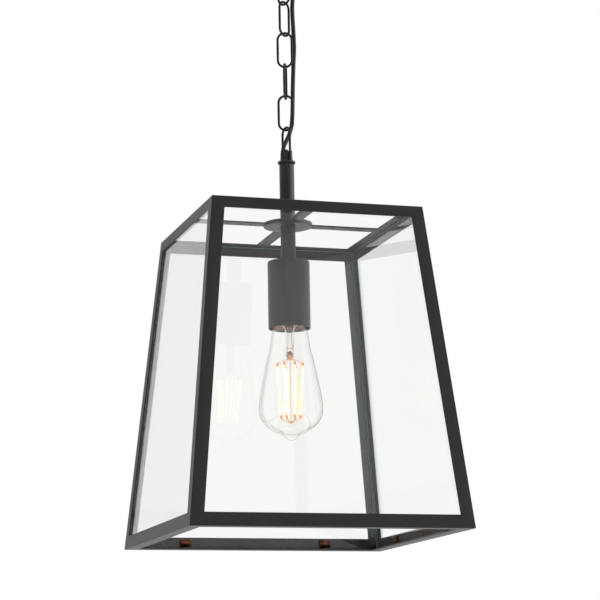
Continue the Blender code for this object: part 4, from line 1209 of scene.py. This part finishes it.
def make_rose():
    hole = HOOK_WIRE / 2 + GAP
    inner_radius = ROSE_RADIUS - ROSE_WALL
    inner_edge = ROSE_EDGE - ROSE_WALL
    bend = ROSE_RADIUS - ROSE_EDGE
    floor = -ROSE_DEPTH
    outer = [(ROSE_RADIUS, -GAP), (ROSE_RADIUS, -0.6 * ROSE_DEPTH)]
    inner = [(inner_radius, -GAP), (inner_radius, -0.6 * ROSE_DEPTH)]
    for k in range(13):
        turn = math.pi / 2 * k / 12
        outer.append((bend + ROSE_EDGE * math.cos(turn), floor + ROSE_EDGE - ROSE_EDGE * math.sin(turn)))
        inner.append((bend + inner_edge * math.cos(turn), floor + ROSE_EDGE - inner_edge * math.sin(turn)))
    outline = [*outer, (hole, floor), (hole, floor + ROSE_WALL), *reversed(inner)]
    opening = rod(GRIP_RADIUS + GAP, 6 * ROSE_WALL, Matrix.Translation((FLEX_X, 0, floor)))
    cover = cut(spun(outline, 96), [("DIFFERENCE", opening)])
    piece("rose_canopy", cover, "rose", STEM_PAINT, ["rose_cover"])
    top = floor - GAP
    nut = [
        (hole, top - RING_NUT_HEIGHT), (0.72 * RING_NUT_RADIUS, top - RING_NUT_HEIGHT),
        (0.90 * RING_NUT_RADIUS, top - 0.82 * RING_NUT_HEIGHT),
        (RING_NUT_RADIUS, top - 0.5 * RING_NUT_HEIGHT), (RING_NUT_RADIUS, top), (hole, top),
    ]
    turned_nut = spun(nut, 48, edge=0.25 * MM)
    piece("hook_ring_nut", turned_nut, "rose", STEM_PAINT, ["ring_nut"])
    make_hook()
    make_grip()
    make_terminals()


def make_hook():
    """Round bar, bent out and round into an open hook, with its tip rounded off."""
    way = heading(HOOK_YAW)
    centre = -HOOK_DROP + HOOK_BOWL
    shank_top = PLATE_UNDERSIDE - 2 * GAP
    marks = [(0, shank_top), (0, (shank_top + centre) / 2), (0, centre + 1.75 * HOOK_BOWL)]
    marks.append((0.12 * HOOK_BOWL, centre + 1.35 * HOOK_BOWL))
    marks.append((0.62 * HOOK_BOWL, centre + 0.90 * HOOK_BOWL))
    for k in range(9):
        turn = math.radians(20 - 200 * k / 8)
        marks.append((HOOK_BOWL * math.cos(turn), centre + HOOK_BOWL * math.sin(turn)))
    marks.append((-1.06 * HOOK_BOWL, centre + 0.6 * HOOK_BOWL))
    line = smooth_line([way * side + Vector((0, 0, height)) for side, height in marks], 4)
    line = [p for k, p in enumerate(line) if k == 0 or (p - line[k - 1]).length > 1e-5]
    end, run = line[-1], (line[-1] - line[-2]).normalized()
    line = line[:-1] + [end - run * 0.0009, end - run * 0.0003, end]
    shares = [1] * (len(line) - 3) + [0.96, 0.78, 0.42]
    bm = drawn(line, HOOK_WIRE / 2, 24, shares=shares)
    piece("bent_hook", bm, "rose", CHAIN_PAINT, ["ceiling_hook"], smooth_to=50)


def make_grip():
    """The nylon cord grip: a flange against the rose, then a taper with soft rings that let the flex bend."""
    floor = -ROSE_DEPTH
    bore = FLEX / 2 + 0.1 * MM
    exit_height = floor - GRIP_LENGTH
    outline = [
        (bore, floor + GRIP_TOP), (bore, exit_height), (GRIP_TIP - 0.5 * MM, exit_height),
        (GRIP_TIP, exit_height + 0.6 * MM),
    ]
    taper = 0.6 * GRIP_LENGTH
    grooves = 4
    for k in range(grooves):
        for share, dip in ((0.35, 0.0), (0.50, 0.45 * MM), (0.75, 0.45 * MM), (0.90, 0.0)):
            along = (k + share) / grooves
            outline.append(
                (GRIP_TIP + 0.9 * MM * along - dip, exit_height + 0.6 * MM + along * (taper - 1.2 * MM)),
            )
    outline += [
        (GRIP_TIP + 1.0 * MM, exit_height + taper), (GRIP_FLANGE, floor - 0.2 * GRIP_LENGTH),
        (GRIP_FLANGE, floor - GAP), (GRIP_RADIUS, floor - GAP), (GRIP_RADIUS, floor + GRIP_TOP),
    ]
    bm = spun(outline, 48, edge=0.12 * MM)
    bm.transform(Matrix.Translation((FLEX_X, 0, 0)))
    piece("nylon_cord_grip", bm, "rose", GRIP_NYLON, ["cord_grip"])


def make_terminals():
    """A two-way terminal block: two towers on one foot, each with its screw."""
    low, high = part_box("terminal_block")
    size = high - low
    body = block(low, (high.x, high.y, low.z + 0.55 * size.z))
    screws = bmesh.new()
    for side in (-1, 1):
        x = (low.x + high.x) / 2 + side * size.x / 4
        y = (low.y + high.y) / 2
        merge(body, block((x - 3.2 * MM, low.y + 1.2 * MM, low.z), (x + 3.2 * MM, high.y - 1.2 * MM, high.z)))
        screw = spun(
            [(0, high.z), (2.0 * MM, high.z), (2.0 * MM, high.z - 1.0 * MM), (0, high.z - 1.0 * MM)], 24
        )
        bmesh.ops.translate(screw, verts=screw.verts, vec=(x, y, 0.1 * MM))
        merge(screws, screw)
    soften(body, 0.5 * MM, 2)
    piece("terminal_strip", body, "rose", POLYAMIDE, ["terminal_block"])
    piece("terminal_screws", screws, "rose", BRASS)


# ---------------------------------------------------------------- studio


def set_world():
    """A white studio. What is seen straight or through glass is plain white, and what a surface mirrors is
    white behind and beside the lantern and dimmer towards the camera's side."""
    world = bpy.data.worlds.new("studio")
    world.use_nodes = True
    tree = world.node_tree
    tree.nodes.clear()
    way = add(tree, "ShaderNodeTexCoord").outputs["Generated"]
    behind = add(tree, "ShaderNodeVectorMath", {"operation": "DOT_PRODUCT"}, {0: way, 1: AHEAD})
    beside = add(tree, "ShaderNodeVectorMath", {"operation": "DOT_PRODUCT"}, {0: way, 1: RIGHTWARDS})
    depth = add(tree, "ShaderNodeMapRange", {"interpolation_type": "SMOOTHSTEP"}, {
        "Value": behind.outputs["Value"], "From Min": -0.6, "From Max": 0.7, "To Min": 0.27, "To Max": 0.74,
    })
    right = add(tree, "ShaderNodeMapRange", {"interpolation_type": "SMOOTHSTEP"}, {
        "Value": beside.outputs["Value"], "From Min": 0.55, "From Max": 1.0, "To Min": 0.0, "To Max": 2.0,
    })
    rise = add(tree, "ShaderNodeSeparateXYZ", (), {"Vector": way}).outputs["Z"]
    above = add(tree, "ShaderNodeMapRange", {"interpolation_type": "SMOOTHSTEP"}, {
        "Value": rise, "From Min": 0.2, "From Max": 0.9, "To Min": 0.0, "To Max": 0.5,
    })
    below = add(tree, "ShaderNodeMapRange", {"interpolation_type": "SMOOTHSTEP"}, {
        "Value": rise, "From Min": -0.25, "From Max": 0.05, "To Min": 0.5, "To Max": 1.0,
    })
    level = depth.outputs["Result"]
    for operation, part in (("ADD", right), ("ADD", above), ("MULTIPLY", below)):
        level = add(
            tree, "ShaderNodeMath", {"operation": operation}, {0: level, 1: part.outputs["Result"]}
        ).outputs["Value"]
    around = add(tree, "ShaderNodeBackground", (), {"Color": (1.0, 0.985, 0.955, 1.0), "Strength": level})
    path = add(tree, "ShaderNodeLightPath")
    mixed = around.outputs["Background"]
    for ray, brightness in (("Is Transmission Ray", 0.965), ("Is Camera Ray", 1.0)):
        plain = add(
            tree, "ShaderNodeBackground", (), {"Color": (1.0, 1.0, 0.995, 1.0), "Strength": brightness}
        )
        mixed = add(tree, "ShaderNodeMixShader", (), {
            0: path.outputs[ray], 1: mixed, 2: plain.outputs["Background"],
        }).outputs["Shader"]
    add(tree, "ShaderNodeOutputWorld", (), {"Surface": mixed})
    bpy.context.scene.world = world


def softbox(name, place, target, size, power, colour):
    data = bpy.data.lights.new(name, "AREA")
    data.shape = "RECTANGLE"
    data.size, data.size_y = size
    data.energy = power
    data.color = colour
    lamp = bpy.data.objects.new(name, data)
    bpy.context.scene.collection.objects.link(lamp)
    lamp.location = place
    lamp.rotation_euler = (Vector(target) - Vector(place)).to_track_quat("-Z", "Y").to_euler()
    # a pane that swings round would mirror the lamp and hide the bulb behind it
    lamp.visible_glossy = False
    lamp.visible_transmission = False


def set_studio():
    set_world()
    middle = (0, 0, -0.40)
    softbox("key", (2.1, 0.1, 0.3), middle, (1.3, 1.8), 40, (1.0, 0.98, 0.94))
    softbox("fill", (-1.9, -1.2, 0.1), middle, (1.4, 1.6), 7, (0.98, 1.0, 0.96))
    bm = bmesh.new()
    bmesh.ops.create_circle(
        bm, cap_ends=True, segments=96, radius=FLOOR_RADIUS, matrix=Matrix.Translation((0, 0, FLOOR_HEIGHT))
    )
    floor = bpy.data.objects.new("studio_floor", as_mesh("studio_floor", bm))
    floor.data.materials.append(plain_studio("painted_white_board", "f0efec"))
    bpy.context.scene.collection.objects.link(floor)
    view = bpy.context.scene.view_settings
    view.view_transform = "Standard"
    view.look = "None"


def finish_kept_nodes():
    """New finishes for the fixed nodes whose shape stays as it is."""
    kept = {
        "ceiling_plate": ZINC, "hook_nut": ZINC, "holder_nipple": ZINC, "flex_in_rose": PVC,
        "flex_in_stem": PVC, "centre_contact": BRASS, "bulb_contact": NICKEL, "cap_insulator": CAP_GLASS,
    }
    for name, finish in kept.items():
        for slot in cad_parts[name].material_slots:
            slot.material = finish


set_camera()
make_flex()
welded_frame()
make_panes()
make_clips()
make_stem()
make_lampholder()
make_bulb()
make_chain()
make_rose()
finish_kept_nodes()
set_studio()

bpy.context.view_layer.update()
